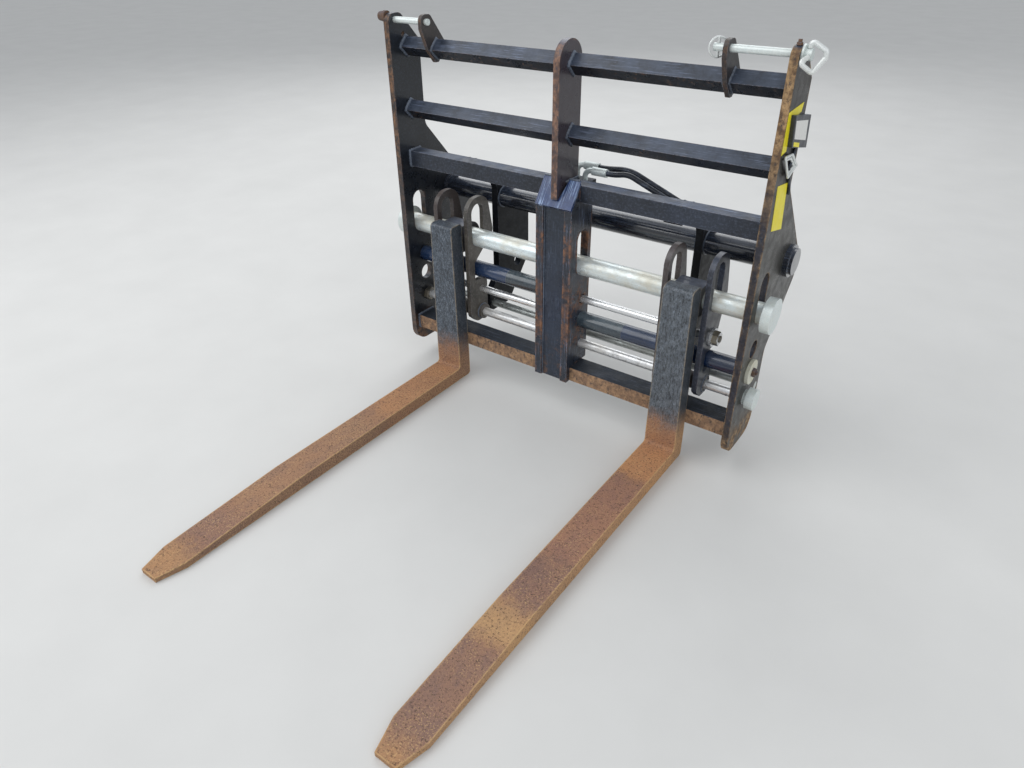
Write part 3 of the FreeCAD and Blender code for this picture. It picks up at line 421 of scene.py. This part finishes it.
sideScratch = {"scratchAxis": "X", "scratchAmount": 0.5, "scratchTop": 0.8}
paintJobs = {  # finish: what differs from paintSettings
    "leftPlatePaint": dict(
        colour=tint(20, 24, 30), blush=tint(28, 33, 41), dustAndSkySheenAmount=0.3, film=0.1, patches=0.05,
        frontRust=0.95, frontAbove=0.75, edgeRust=0.7, edgePatch=0.4, lowRust=(0.22, 0.09),
        outerFilm=0.85, outerSide=-1),
    "rightPlatePaint": dict(
        specular=0.25, coat=0.05, dustAndSkySheenAmount=0.3, film=0.2, outerFilm=0.95, lowRust=(0.2, 0.08),
        frontRust=0.95, frontAbove=0.9, frontGaps=0.34, frontLow=0.1, edgeRust=0.9, edgePatch=0.5,
        wear=0.006, edgeWearAndHighlight=0.8, edgeWearAndHighlightColour=tint(150, 128, 98), rustLight=tint(192, 158, 116),
        rustDark=tint(112, 88, 66)),
    "barPaint": dict(
        coat=0.1, underDark=0.75, wear=0.004, underRust=0.85, edgeRust=0.45, edgeWearAndHighlight=0.8,
        dustAndSkySheenAmount=0.55, film=0.1, **sideScratch),
    "beamPaint": dict(
        coat=0.0, gloss=0.42, wear=0.0045, edgeRust=0.3, underRust=0.4, edgeWearAndHighlight=0.9, dustAndSkySheenAmount=0.6,
        film=0.26, scratchAxis="X", scratchAmount=0.95, scratchTop=0.9),
    "lowBarPaint": dict(
        colour=tint(22, 27, 33), blush=tint(32, 38, 47), edgeRust=0.5, frontRust=1.0, frontGaps=0.34,
        rustDark=tint(142, 114, 92), rustLight=tint(184, 148, 114), dustAndSkySheenAmount=0.1, coat=0.0,
        gloss=0.5, film=0.1, scratchAxis="X", scratchAmount=0.3),
    "columnPaint": dict(
        spotHeights=((0.585, 0.05), (0.405, 0.08), (0.31, 0.05)), rustBand=(0.24, 0.44, 0.7),
        edgeRust=0.7, edgePatch=0.8, edgeWearAndHighlight=0.9, wear=0.004, scratchAmount=0.7, coat=0.1,
        rustDark=tint(98, 70, 54), rustLight=tint(166, 116, 82)),
    "webPaint": dict(
        colour=tint(30, 38, 50), blush=tint(44, 54, 71), coat=0.0, edgeRust=0.2,
        rustBand=(0.1, 0.24, 0.5), scratchAmount=0.65, scratchColour=tint(108, 124, 150)),
    "capPaint": dict(
        colour=tint(12, 40, 88), blush=tint(34, 68, 124), dustAndSkySheen=tint(96, 130, 190), dustAndSkySheenAmount=0.3,
        edgeRust=0.3, edgeWearAndHighlight=1.0, scratchAxis="slope", scratchAmount=1.0, scratchGrain=190,
        scratchFrom=0.46, scratchColour=tint(168, 194, 232)),
    "leftInnerRing": dict(
        colour=tint(60, 57, 54), blush=tint(92, 86, 78), dustAndSkySheen=tint(150, 146, 138), edgeRust=0.4,
        patches=0.2, gloss=0.42, film=0.3),
    "leftOuterRing": dict(
        colour=tint(46, 41, 40), blush=tint(74, 62, 58), dustAndSkySheen=tint(122, 112, 108), edgeRust=0.5,
        patches=0.2, gloss=0.42, film=0.25),
    "rightInnerRing": dict(
        colour=tint(46, 42, 44), blush=tint(76, 66, 64), dustAndSkySheen=tint(134, 132, 136), edgeRust=0.7,
        patches=0.3, gloss=0.4, film=0.25),
    "rightOuterRing": dict(
        colour=tint(34, 37, 46), blush=tint(50, 56, 70), dustAndSkySheen=tint(120, 130, 150), edgeRust=0.5,
        edgeWearAndHighlight=0.9, patches=0.1, gloss=0.36, film=0.25),
    "eyePaint": dict(
        colour=tint(42, 42, 46), blush=tint(66, 64, 64), edgeRust=0.5, patches=0.3, gloss=0.5),
    "earPaint": dict(
        colour=tint(40, 38, 42), blush=tint(62, 56, 54), dustAndSkySheen=tint(126, 118, 110), edgeRust=0.8,
        frontRust=0.5, edgeWearAndHighlight=0.8, patches=0.25, gloss=0.5),
    "centrePaint": dict(
        colour=tint(56, 48, 55), blush=tint(70, 61, 69), frontRust=1.0, edgePatch=0.4, edgeRust=0.8,
        outerFilm=0.5, outerHigh=tint(64, 58, 64), outerLow=tint(68, 62, 68), film=0.2,
        rustLight=tint(158, 120, 98), rustDark=tint(92, 72, 64)),
    "barrelPaint": dict(
        colour=tint(16, 36, 66), blush=tint(28, 54, 92), edgeRust=0.1, gloss=0.16, film=0.1,
        coat=0.8, dustAndSkySheenAmount=0.3, **sideScratch),
    "glandPaint": dict(
        colour=tint(40, 50, 58), blush=tint(56, 70, 80), dustAndSkySheen=tint(130, 146, 156), gloss=0.18,
        coat=0.8, edgeRust=0.4, film=0.16),
    "hookPaint": dict(
        colour=tint(24, 28, 38), blush=tint(34, 42, 56), edgeRust=0.15, gloss=0.14, film=0.1,
        coat=1.0, dustAndSkySheenAmount=0.3, scratchAxis="X", scratchAmount=0.3),
    # near-black: black paint darkened further as painted shade on the parts at the back
    "backPaintAndShade": dict(
        colour=tint(12, 14, 17), blush=tint(18, 21, 26), edgeRust=0.25, film=0.06, dustAndSkySheenAmount=0.3,
        coat=0.0, gloss=0.45, specular=0.2),
    # pale weld beads: weld paint lightened as a painted highlight on the beads
    "seamPaintAndHighlight": dict(
        colour=tint(60, 68, 82), blush=tint(104, 116, 134), dustAndSkySheen=tint(160, 170, 186),
        dustAndSkySheenAmount=0.6, edgeRust=0.0, edgeWearAndHighlight=0.0, patches=0.1),
    "blockPaint": dict(
        colour=tint(30, 36, 46), blush=tint(40, 48, 60), edgeRust=0.0, edgeWearAndHighlight=0.2, gloss=0.4),
    "rustyBolt": dict(
        colour=tint(82, 62, 48), blush=tint(116, 84, 60), patches=0.6, edgeRust=0.8, gloss=0.6,
        coat=0.0),
}
metalJobs = {  # finish: what differs from metalSettings
    "shaftSteel": dict(
        colour=tint(240, 252, 255), stain=tint(206, 186, 142), stainAmount=0.5, rustAmount=0.24,
        rough=0.26, grime=0.16, metal=0.4, relief=0.06),
    "rodChrome": dict(
        colour=tint(240, 242, 244), stainAmount=0.1, rustAmount=0.06, rough=0.24, streak=0.94,
        metal=0.8, relief=0.0),
    "guideChrome": dict(
        colour=tint(238, 240, 242), stainAmount=0.25, rustAmount=0.15, rough=0.3, grime=0.5,
        metal=0.6, streak=0.9, relief=0.0),
    "tieSteel": dict(
        colour=tint(216, 222, 220), stain=tint(140, 132, 112), stainAmount=0.35, rustAmount=0.2,
        rough=0.3, metal=0.7, grime=0.4, relief=0.0),
    "zinc": dict(
        colour=tint(232, 243, 243), stainAmount=0.12, rustAmount=0.06, rough=0.34, metal=0.3,
        brush=(1, 1, 1), frost=0.5),
    "brightZinc": dict(
        colour=tint(238, 242, 242), stainAmount=0.08, rustAmount=0.05, rough=0.32, metal=0.35,
        brush=(1, 1, 1), frost=0.6),
    "creamZinc": dict(
        colour=tint(222, 220, 200), stain=tint(190, 170, 120), stainAmount=0.4, rustAmount=0.3,
        rough=0.5, metal=0.3, brush=(1, 1, 1), frost=0.4),
    "boltSteel": dict(
        colour=tint(150, 146, 138), stainAmount=0.3, rustAmount=0.55, rough=0.4, brush=(1, 1, 1),
        grime=0.3),
}
finishes = {name: wornPaint(name, **changes) for name, changes in paintJobs.items()}
finishes.update({name: bareMetal(name, **changes) for name, changes in metalJobs.items()})
finishes.update({
    "leftForkSteel": forkSteel("leftForkSteel", "left"),
    "rightForkSteel": forkSteel("rightForkSteel", "right"),
    "hoseRubber": hoseRubber("hoseRubber"),
    "yellowLabel": blankLabel("yellowLabel"),
    "whiteLabel": blankLabel("whiteLabel"),
})
print("finishes made:", len(finishes))

finishOfNode = {  # start of the node's name: finish; the longest start that fits is used
    "side_plate_left": "leftPlatePaint", "side_plate_right": "rightPlatePaint",
    "top_bar": "barPaint", "middle_bar": "barPaint", "upper_beam": "beamPaint", "lower_bar": "lowBarPaint",
    "column_flange": "columnPaint", "column_web": "webPaint", "column_cap": "capPaint",
    "centre_plate": "centrePaint", "pin_ear": "earPaint",
    "carrier_left": "leftInnerRing", "carrier_left_outer": "leftOuterRing",
    "carrier_right": "rightInnerRing", "carrier_right_outer": "rightOuterRing",
    "upper_barrel": "barrelPaint", "lower_barrel": "barrelPaint",
    "upper_gland": "glandPaint", "lower_gland": "glandPaint",
    "upper_piston_rod": "rodChrome", "lower_piston_rod": "rodChrome", "anchor_disc": "creamZinc",
    "guide_rod": "guideChrome", "guide_block": "zinc", "guide_nut": "boltSteel", "tie_tube": "tieSteel",
    "fork_shaft": "shaftSteel", "shaft_cap": "zinc", "fork_eye": "eyePaint",
    "fork_left": "leftForkSteel", "fork_right": "rightForkSteel",
    "left_pin": "zinc", "right_pin": "zinc", "lynch_pin": "brightZinc", "pull_handle": "brightZinc",
    "hose_fitting": "zinc", "hose": "hoseRubber", "manifold": "backPaintAndShade", "coupler_shelf": "backPaintAndShade",
    "hanger": "backPaintAndShade", "hook": "hookPaint",
}
for name, thing in cad.items():
    start = max((start for start in finishOfNode if name.startswith(start)), key=len)
    thing.data.materials.clear()
    thing.data.materials.append(finishes[finishOfNode[start]])
print("CAD nodes finished:", len(cad))


def addPiece(name, mesh, finish, body="frame"):
    # body is the part of the mechanism that the piece moves with
    mesh.materials.append(finishes[finish])
    piece = bpy.data.objects.new(name, mesh)
    bpy.context.scene.collection.objects.link(piece)
    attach(piece, body)


def meshOf(name, build, smooth=True):
    work = bmesh.new()
    build(work)
    bmesh.ops.recalc_face_normals(work, faces=work.faces)
    mesh = bpy.data.meshes.new(name)
    work.to_mesh(mesh)
    work.free()
    for face in mesh.polygons:
        face.use_smooth = smooth
    return mesh


# weld beads

beadSettings = {
    # every bead: distance between its rings and points in each, share that its radius varies by,
    # radians of the swell from ring to ring, and the random part of it
    "step": 3.4, "sides": 8, "ripple": 0.14, "wave": 2.1, "jitter": 0.5,
    # radius of the bead on each kind of seam
    "bar": 6.5, "beam": 6, "ear": 5, "hanger": 4, "hook": 3.5, "cap": 3, "plate": 4, "web": 2.6,
    "sleeve": 2.4,
    # radius of the tubes that are welded all round
    "hookTube": 35, "sleeveTube": 26,
    # the cap's seam on the beam: short of its ends, below its top, half of the notch between
    "capInset": 2, "capDrop": 1, "notchHalf": 24,
}


def spaced(corners, closed):
    # points every few millimetres along straight lines between corners
    corners = list(corners) + ([corners[0]] if closed else [])
    points = []
    for start, end in zip(corners, corners[1:]):
        count = max(1, round((end - start).length * 1000 / beadSettings["step"]))
        points += [start.lerp(end, i / count) for i in range(count)]
    return points if closed else points + [corners[-1]]


def bead(work, corners, radius, closed=True, ripple=beadSettings["ripple"]):
    # a round run along the corners; rings are kept from twisting by carrying the side on
    points = spaced(corners, closed)
    sides, wave, jitter = (beadSettings[key] for key in ("sides", "wave", "jitter"))
    rings = []
    across = None
    for i, point in enumerate(points):
        before = points[i - 1] if closed or i else point
        after = points[(i + 1) % len(points)] if closed or i + 1 < len(points) else point
        along = (after - before).normalized()
        across = along.orthogonal() if across is None else across - along * across.dot(along)
        across.normalize()
        up = along.cross(across)
        swell = radius / 1000 * (1 + ripple * (math.sin(i * wave) + random.uniform(-jitter, jitter)))
        rings.append([work.verts.new(point + (across * math.cos(a) + up * math.sin(a)) * swell)
                      for a in (math.tau * k / sides for k in range(sides))])
    pairs = list(zip(rings, rings[1:])) + ([(rings[-1], rings[0])] if closed else [])
    for ringA, ringB in pairs:
        for k in range(len(ringA)):
            work.faces.new((ringA[k], ringA[k - 1], ringB[k - 1], ringB[k]))
    if not closed:
        work.faces.new(rings[0])
        work.faces.new(rings[-1][::-1])


def ringPoints(x, centre, radius, count=40):
    y, z = centre
    return [at(x, y + radius * math.cos(a), z + radius * math.sin(a))
            for a in (math.tau * i / count for i in range(count))]


def boxPoints(x, low, high):
    return [at(x, low.y, low.z), at(x, high.y, low.z), at(x, high.y, high.z), at(x, low.y, high.z)]


def diamondPoints(x, low, high):
    midY, midZ = (low.y + high.y) / 2, (low.z + high.z) / 2
    return [at(x, low.y, midZ), at(x, midY, low.z), at(x, high.y, midZ), at(x, midY, high.z)]


def frameBeads(work):
    s = beadSettings
    span = plateFace * 1000
    beam, cap = inPlate("upper_beam"), inPlate("column_cap")
    plate, web = inPlate("centre_plate"), inPlate("column_web")
    half = (plate[1].x - plate[0].x) / 2
    for bar in ("top_bar", "middle_bar"):
        for x in (-span, -half, half, span):
            bead(work, diamondPoints(x, *inPlate(bar)), s["bar"])
    for bar in ("upper_beam", "lower_bar"):
        for x in (-span, span):
            bead(work, boxPoints(x, *inPlate(bar)), s["beam"])
    for side in ("left", "right"):
        ear, hanger = inPlate("pin_ear_" + side), inPlate("hanger_" + side)
        for x in (ear[0].x, ear[1].x):
            bead(work, diamondPoints(x, *inPlate("top_bar")), s["ear"])
        for x in (hanger[0].x, hanger[1].x):
            bead(work, [at(x, beam[1].y, beam[0].z), at(x, beam[1].y, beam[1].z)], s["hanger"], False)
            bead(work, ringPoints(x, axisOf("hook_tube"), s["hookTube"]), s["hook"])
    z = cap[1].z - s["capDrop"]
    capEnds = (cap[0].x + s["capInset"], -s["notchHalf"]), (s["notchHalf"], cap[1].x - s["capInset"])
    for start, end in capEnds:
        bead(work, [at(start, beam[0].y, z), at(end, beam[0].y, z)], s["cap"], False)
    for x in (-half, half):
        bead(work, [at(x, beam[0].y, beam[1].z), at(x, plate[1].y, beam[1].z)], s["plate"], False)
    for x in (web[0].x, web[1].x):
        bead(work, [at(x, web[0].y, web[0].z), at(x, web[0].y, web[1].z)], s["web"], False)


addPiece("weldBeads", meshOf("weldBeads", frameBeads), "seamPaintAndHighlight")


def carrierBeads(side):
    def build(work):
        for plate in ("outer", "inner"):
            low, high = inPlate(f"carrier_{side}_{plate}")
            for x in (low.x, high.x):
                seam = ringPoints(x, axisOf("guide_rod"), beadSettings["sleeveTube"])
                bead(work, seam, beadSettings["sleeve"])
    return build


for side in ("left", "right"):
    beads = meshOf("carrierBeads", carrierBeads(side))
    addPiece(f"carrierBeads_{side}", beads, "seamPaintAndHighlight", "positioner_" + side)
print("weld beads laid")


# bolts and nuts

# radians that the corners are turned, width of the free end, share of the length that is chamfered
prismSettings = {"turn": 0.3, "tip": 0.9, "chamfer": 0.12, "endChamfer": 0.3}


def prism(work, centre, across, length, way, sides=6, chamfer=prismSettings["chamfer"]):
    # along X from its seat, with a chamfer at the free end; way is 1 or -1
    corner = across / 2 / math.cos(math.pi / sides)
    angles = [math.tau * k / sides + prismSettings["turn"] for k in range(sides)]
    stations = (0, corner), (length * (1 - chamfer), corner), (length, corner * prismSettings["tip"])
    rings = []
    for reach, size in stations:
        circle = [(size / 1000 * math.cos(a), size / 1000 * math.sin(a)) for a in angles]
        rings.append([work.verts.new(centre + Vector((way * reach / 1000, y, z))) for y, z in circle])
    for ringA, ringB in zip(rings, rings[1:]):
        for k in range(sides):
            work.faces.new((ringA[k], ringA[k - 1], ringB[k - 1], ringB[k]))
    work.faces.new(rings[0])
    work.faces.new(rings[-1][::-1])


def boltEnd(work, centre, s, way):
    # the round end that stands out of a nut
    prism(work, centre, s["end"], s["endLength"], way, s["endSides"], prismSettings["endChamfer"])


rodNutSettings = {
    # seat is how far the nut starts before the rod's end
    "across": 38.6, "length": 15.8, "seat": 16, "end": 20, "endLength": 4, "endSides": 16, "endSeat": 0.5,
}


def rodNut(side):
    s = rodNutSettings
    rod = ("lower" if side == "left" else "upper") + "_piston_rod"
    low, high = inPlate(rod)
    end, way = (low.x, -1) if side == "left" else (high.x, 1)

    def build(work):
        prism(work, at(end - way * s["seat"], *axisOf(rod)), s["across"], s["length"], way)
        boltEnd(work, at(end - way * s["endSeat"], *axisOf(rod)), s, way)
    return build


for side in ("left", "right"):
    addPiece(f"rodNut_{side}", meshOf("rodNut", rodNut(side), False), "boltSteel", "positioner_" + side)

guideNutSettings = {"across": 44.6, "proud": 0.3}


def guideNutHex(work):
    s = guideNutSettings
    low, high = inPlate("guide_nut")
    prism(work, at(low.x, *axisOf("guide_nut")), s["across"], high.x - low.x + s["proud"], 1)


addPiece("guideNutHex", meshOf("guideNutHex", guideNutHex, False), "boltSteel")

discBoltSettings = {"across": 24, "length": 9, "end": 12, "endLength": 5, "endSides": 14}


def discBolts(work):
    s = discBoltSettings
    for side, way in (("left", -1), ("right", 1)):
        disc = "anchor_disc_" + side
        low, high = inPlate(disc)
        face = high.x if way > 0 else low.x
        prism(work, at(face, *axisOf(disc)), s["across"], s["length"], way)
        boltEnd(work, at(face + way * s["length"], *axisOf(disc)), s, way)


addPiece("discBolts", meshOf("discBolts", discBolts, False), "rustyBolt")

carrierBoltSettings = {"across": 16, "length": 7, "y": 112, "z": 300}


def carrierBolt(work):
    s = carrierBoltSettings
    low, high = inPlate("carrier_left_inner")
    prism(work, at(high.x, s["y"], s["z"]), s["across"], s["length"], 1)


addPiece("carrierBolt", meshOf("carrierBolt", carrierBolt, False), "boltSteel", "positioner_left")

# a nut and the stud in it, upright on the right plate: radius, bottom, top, sides
topStudSettings = {"y": 22, "steps": ((7, 0, 6, 6), (4.5, 6, 12, 12))}


def topStud(work):
    low, high = inPlate("side_plate_right")
    seat = at((low.x + high.x) / 2, topStudSettings["y"], high.z)
    for radius, bottom, top, sides in topStudSettings["steps"]:
        angles = [math.tau * k / sides for k in range(sides)]
        outline = [Vector((radius * math.cos(a), radius * math.sin(a), bottom)) for a in angles]
        rise = Vector((0, 0, (top - bottom) / 1000))
        lower = [work.verts.new(seat + point / 1000) for point in outline]
        upper = [work.verts.new(vert.co + rise) for vert in lower]
        for k in range(sides):
            work.faces.new((lower[k - 1], lower[k], upper[k], upper[k - 1]))
        work.faces.new(lower)
        work.faces.new(upper)


addPiece("topStud", meshOf("topStud", topStud, False), "rustyBolt")

# a bolt head at the left pin's outer end, at the plate's rounded top
pinHeadSettings = {
    "y": 18, "z": 1170, "collar": 32, "collarLength": 14, "collarChamfer": 0.2,
    "end": 27, "endLength": 15, "endSides": 20,
}


def pinHead(work):
    s = pinHeadSettings
    face = -plateOuter * 1000
    seat = at(face, s["y"], s["z"])
    prism(work, seat, s["collar"], s["collarLength"], -1, s["endSides"], s["collarChamfer"])
    boltEnd(work, at(face - s["collarLength"], s["y"], s["z"]), s, -1)


addPiece("pinHead", meshOf("pinHead", pinHead, False), "rustyBolt")
print("bolts placed")

# blank labels and the tag block on the right side plate's outer face: corners in Y and Z,
# distance off the plate beyond the lift, thickness, finish
labelLift = 0.15
labelTable = {
    "stripLabel": (((2, 1044), (104, 1050), (96, 1030), (30, 1020), (34, 952), (2, 948)),
                   0, 0.6, "yellowLabel"),
    "lowLabel": (((21, 872), (96, 862), (118, 736), (34, 755)), 0, 0.6, "yellowLabel"),
    "tagBlock": (((22, 1036), (142, 1016), (154, 936), (34, 962)), 0, 12, "blockPaint"),
    "tagSticker": (((30, 1023), (124, 1007), (134, 958), (40, 980)), 12, 0.5, "whiteLabel"),
    "tagStrip": (((41, 973), (86, 962), (88, 951), (42, 963)), 12, 0.5, "yellowLabel"),
}


def labelMesh(outline, off, thick):
    def build(work):
        side = plateOuter * 1000 + labelLift + off
        face = work.faces.new([work.verts.new(at(side, y, z)) for y, z in outline])
        pushed = bmesh.ops.extrude_face_region(work, geom=[face])
        moved = [part for part in pushed["geom"] if isinstance(part, bmesh.types.BMVert)]
        bmesh.ops.translate(work, vec=Vector((thick / 1000, 0, 0)), verts=moved)
    return build


for name, (outline, off, thick, finish) in labelTable.items():
    addPiece(name, meshOf(name, labelMesh(outline, off, thick), False), finish)

# the strap that hangs from the tag block, and the two wire loops of its buckle:
# distances off the plate, then corners in Y and Z
strapSettings = {
    "radius": 4, "off": 3.5,
    "path": ((96, 950), (86, 922), (70, 905), (84, 886), (104, 852), (112, 830)),
    "loopRadius": 3.4,
    "loops": ((5, ((22, 934), (64, 930), (104, 902), (60, 894))),
              (8, ((13, 943), (64, 939), (113, 902), (60, 885)))),
}


def strapPath(work):
    s = strapSettings
    side = plateOuter * 1000 + s["off"]
    bead(work, [at(side, y, z) for y, z in s["path"]], s["radius"], False, 0)


def strapBuckle(work):
    s = strapSettings
    for off, loop in s["loops"]:
        side = plateOuter * 1000 + off
        bead(work, [at(side, y, z) for y, z in loop], s["loopRadius"], True, 0)


addPiece("tagStrap", meshOf("tagStrap", strapPath), "hoseRubber")
addPiece("strapBuckle", meshOf("strapBuckle", strapBuckle), "brightZinc")
print("labels placed")


# floor, light and camera

stageSettings = {
    "floor": tint(226, 226, 224), "floorStain": tint(214, 214, 212), "floorRough": 0.9,
    "floorSize": 160, "floorDrop": 0.0006, "skyColour": (0.93, 0.96, 1.0, 1), "skyStrength": 0.58,
    # lamps: place, aim, size, power
    "keyLight": ((-2.6, -2.2, 4.2), (0, 0.2, 0.5), 4.6, 115),
    "fillLight": ((3.6, -1.6, 2.6), (0, 0.3, 0.5), 4.2, 34),
    "skyLight": ((-2.6, 4.2, 4.4), (0, 0.2, 0.5), 4.6, 105),
}


def stageFloor():
    s = stageSettings
    mesh = bpy.data.meshes.new("floor")
    half = s["floorSize"] / 2
    corners = [(-half, -half, 0), (half, -half, 0), (half, half, 0), (-half, half, 0)]
    mesh.from_pydata(corners, [], [(0, 1, 2, 3)])
    floor = bpy.data.objects.new("floor", mesh)
    bpy.context.scene.collection.objects.link(floor)
    floor.location.z = -s["floorDrop"]
    finish, tree, shader = startFinish("floorFinish")
    colour = blendColour(tree, grain(tree, 3), s["floor"], s["floorStain"])
    tree.links.new(colour, shader.inputs["Base Color"])
    shader.inputs["Roughness"].default_value = s["floorRough"]
    mesh.materials.append(finish)


def studioWorld():
    # the camera sees white; the object is lit by a faintly blue sky
    world = bpy.data.worlds.new("studio")
    bpy.context.scene.world = world
    world.use_nodes = True
    tree = world.node_tree
    tree.nodes.clear()
    rays = put(tree, "LightPath").outputs
    sight = {0: rays["Is Camera Ray"], 1: rays["Is Transmission Ray"]}
    seen = put(tree, "Math", sight, operation="MAXIMUM").outputs[0]
    sky = {"Color": stageSettings["skyColour"], "Strength": stageSettings["skyStrength"]}
    lit = put(tree, "Background", sky).outputs[0]
    white = put(tree, "Background", {"Color": (1, 1, 1, 1), "Strength": 1.0}).outputs[0]
    mixed = put(tree, "MixShader", {0: seen, 1: lit, 2: white}).outputs[0]
    tree.links.new(mixed, put(tree, "OutputWorld").inputs[0])


def softLight(name, spot, aim, size, power):
    data = bpy.data.lights.new(name, "AREA")
    data.size = size
    data.energy = power
    lamp = bpy.data.objects.new(name, data)
    bpy.context.scene.collection.objects.link(lamp)
    lamp.location = spot
    lamp.rotation_euler = (Vector(aim) - Vector(spot)).to_track_quat("-Z", "Y").to_euler()


stageFloor()
studioWorld()
for name in ("keyLight", "fillLight", "skyLight"):
    softLight(name, *stageSettings[name])

cameraSettings = {  # solved from the photograph: millimetres, degrees, pixels
    "spot": (1123.967, -1736.947, 1427.783), "turn": 36.453, "down": 32.814, "roll": -0.784,
    "focal": 731.097, "frameWidth": 1024, "sensor": 36,
}


def photoCamera():
    s = cameraSettings
    turn, down, roll = (math.radians(s[key]) for key in ("turn", "down", "roll"))
    forward = Vector((-math.sin(turn) * math.cos(down), math.cos(turn) * math.cos(down), -math.sin(down)))
    right = Vector((math.cos(turn), math.sin(turn), 0))
    up = right.cross(forward)
    across = math.cos(roll) * right + math.sin(roll) * up
    upward = math.cos(roll) * up - math.sin(roll) * right
    data = bpy.data.cameras.new("photoCamera")
    data.sensor_width = s["sensor"]
    data.sensor_fit = "HORIZONTAL"
    data.lens = s["focal"] * s["sensor"] / s["frameWidth"]
    camera = bpy.data.objects.new("photoCamera", data)
    bpy.context.scene.collection.objects.link(camera)
    turned = Matrix((across, upward, -forward)).transposed().to_4x4()
    camera.matrix_world = Matrix.Translation(at(*s["spot"])) @ turned
    bpy.context.scene.camera = camera


photoCamera()
bpy.context.scene.view_settings.view_transform = "Standard"
print("camera and light set")
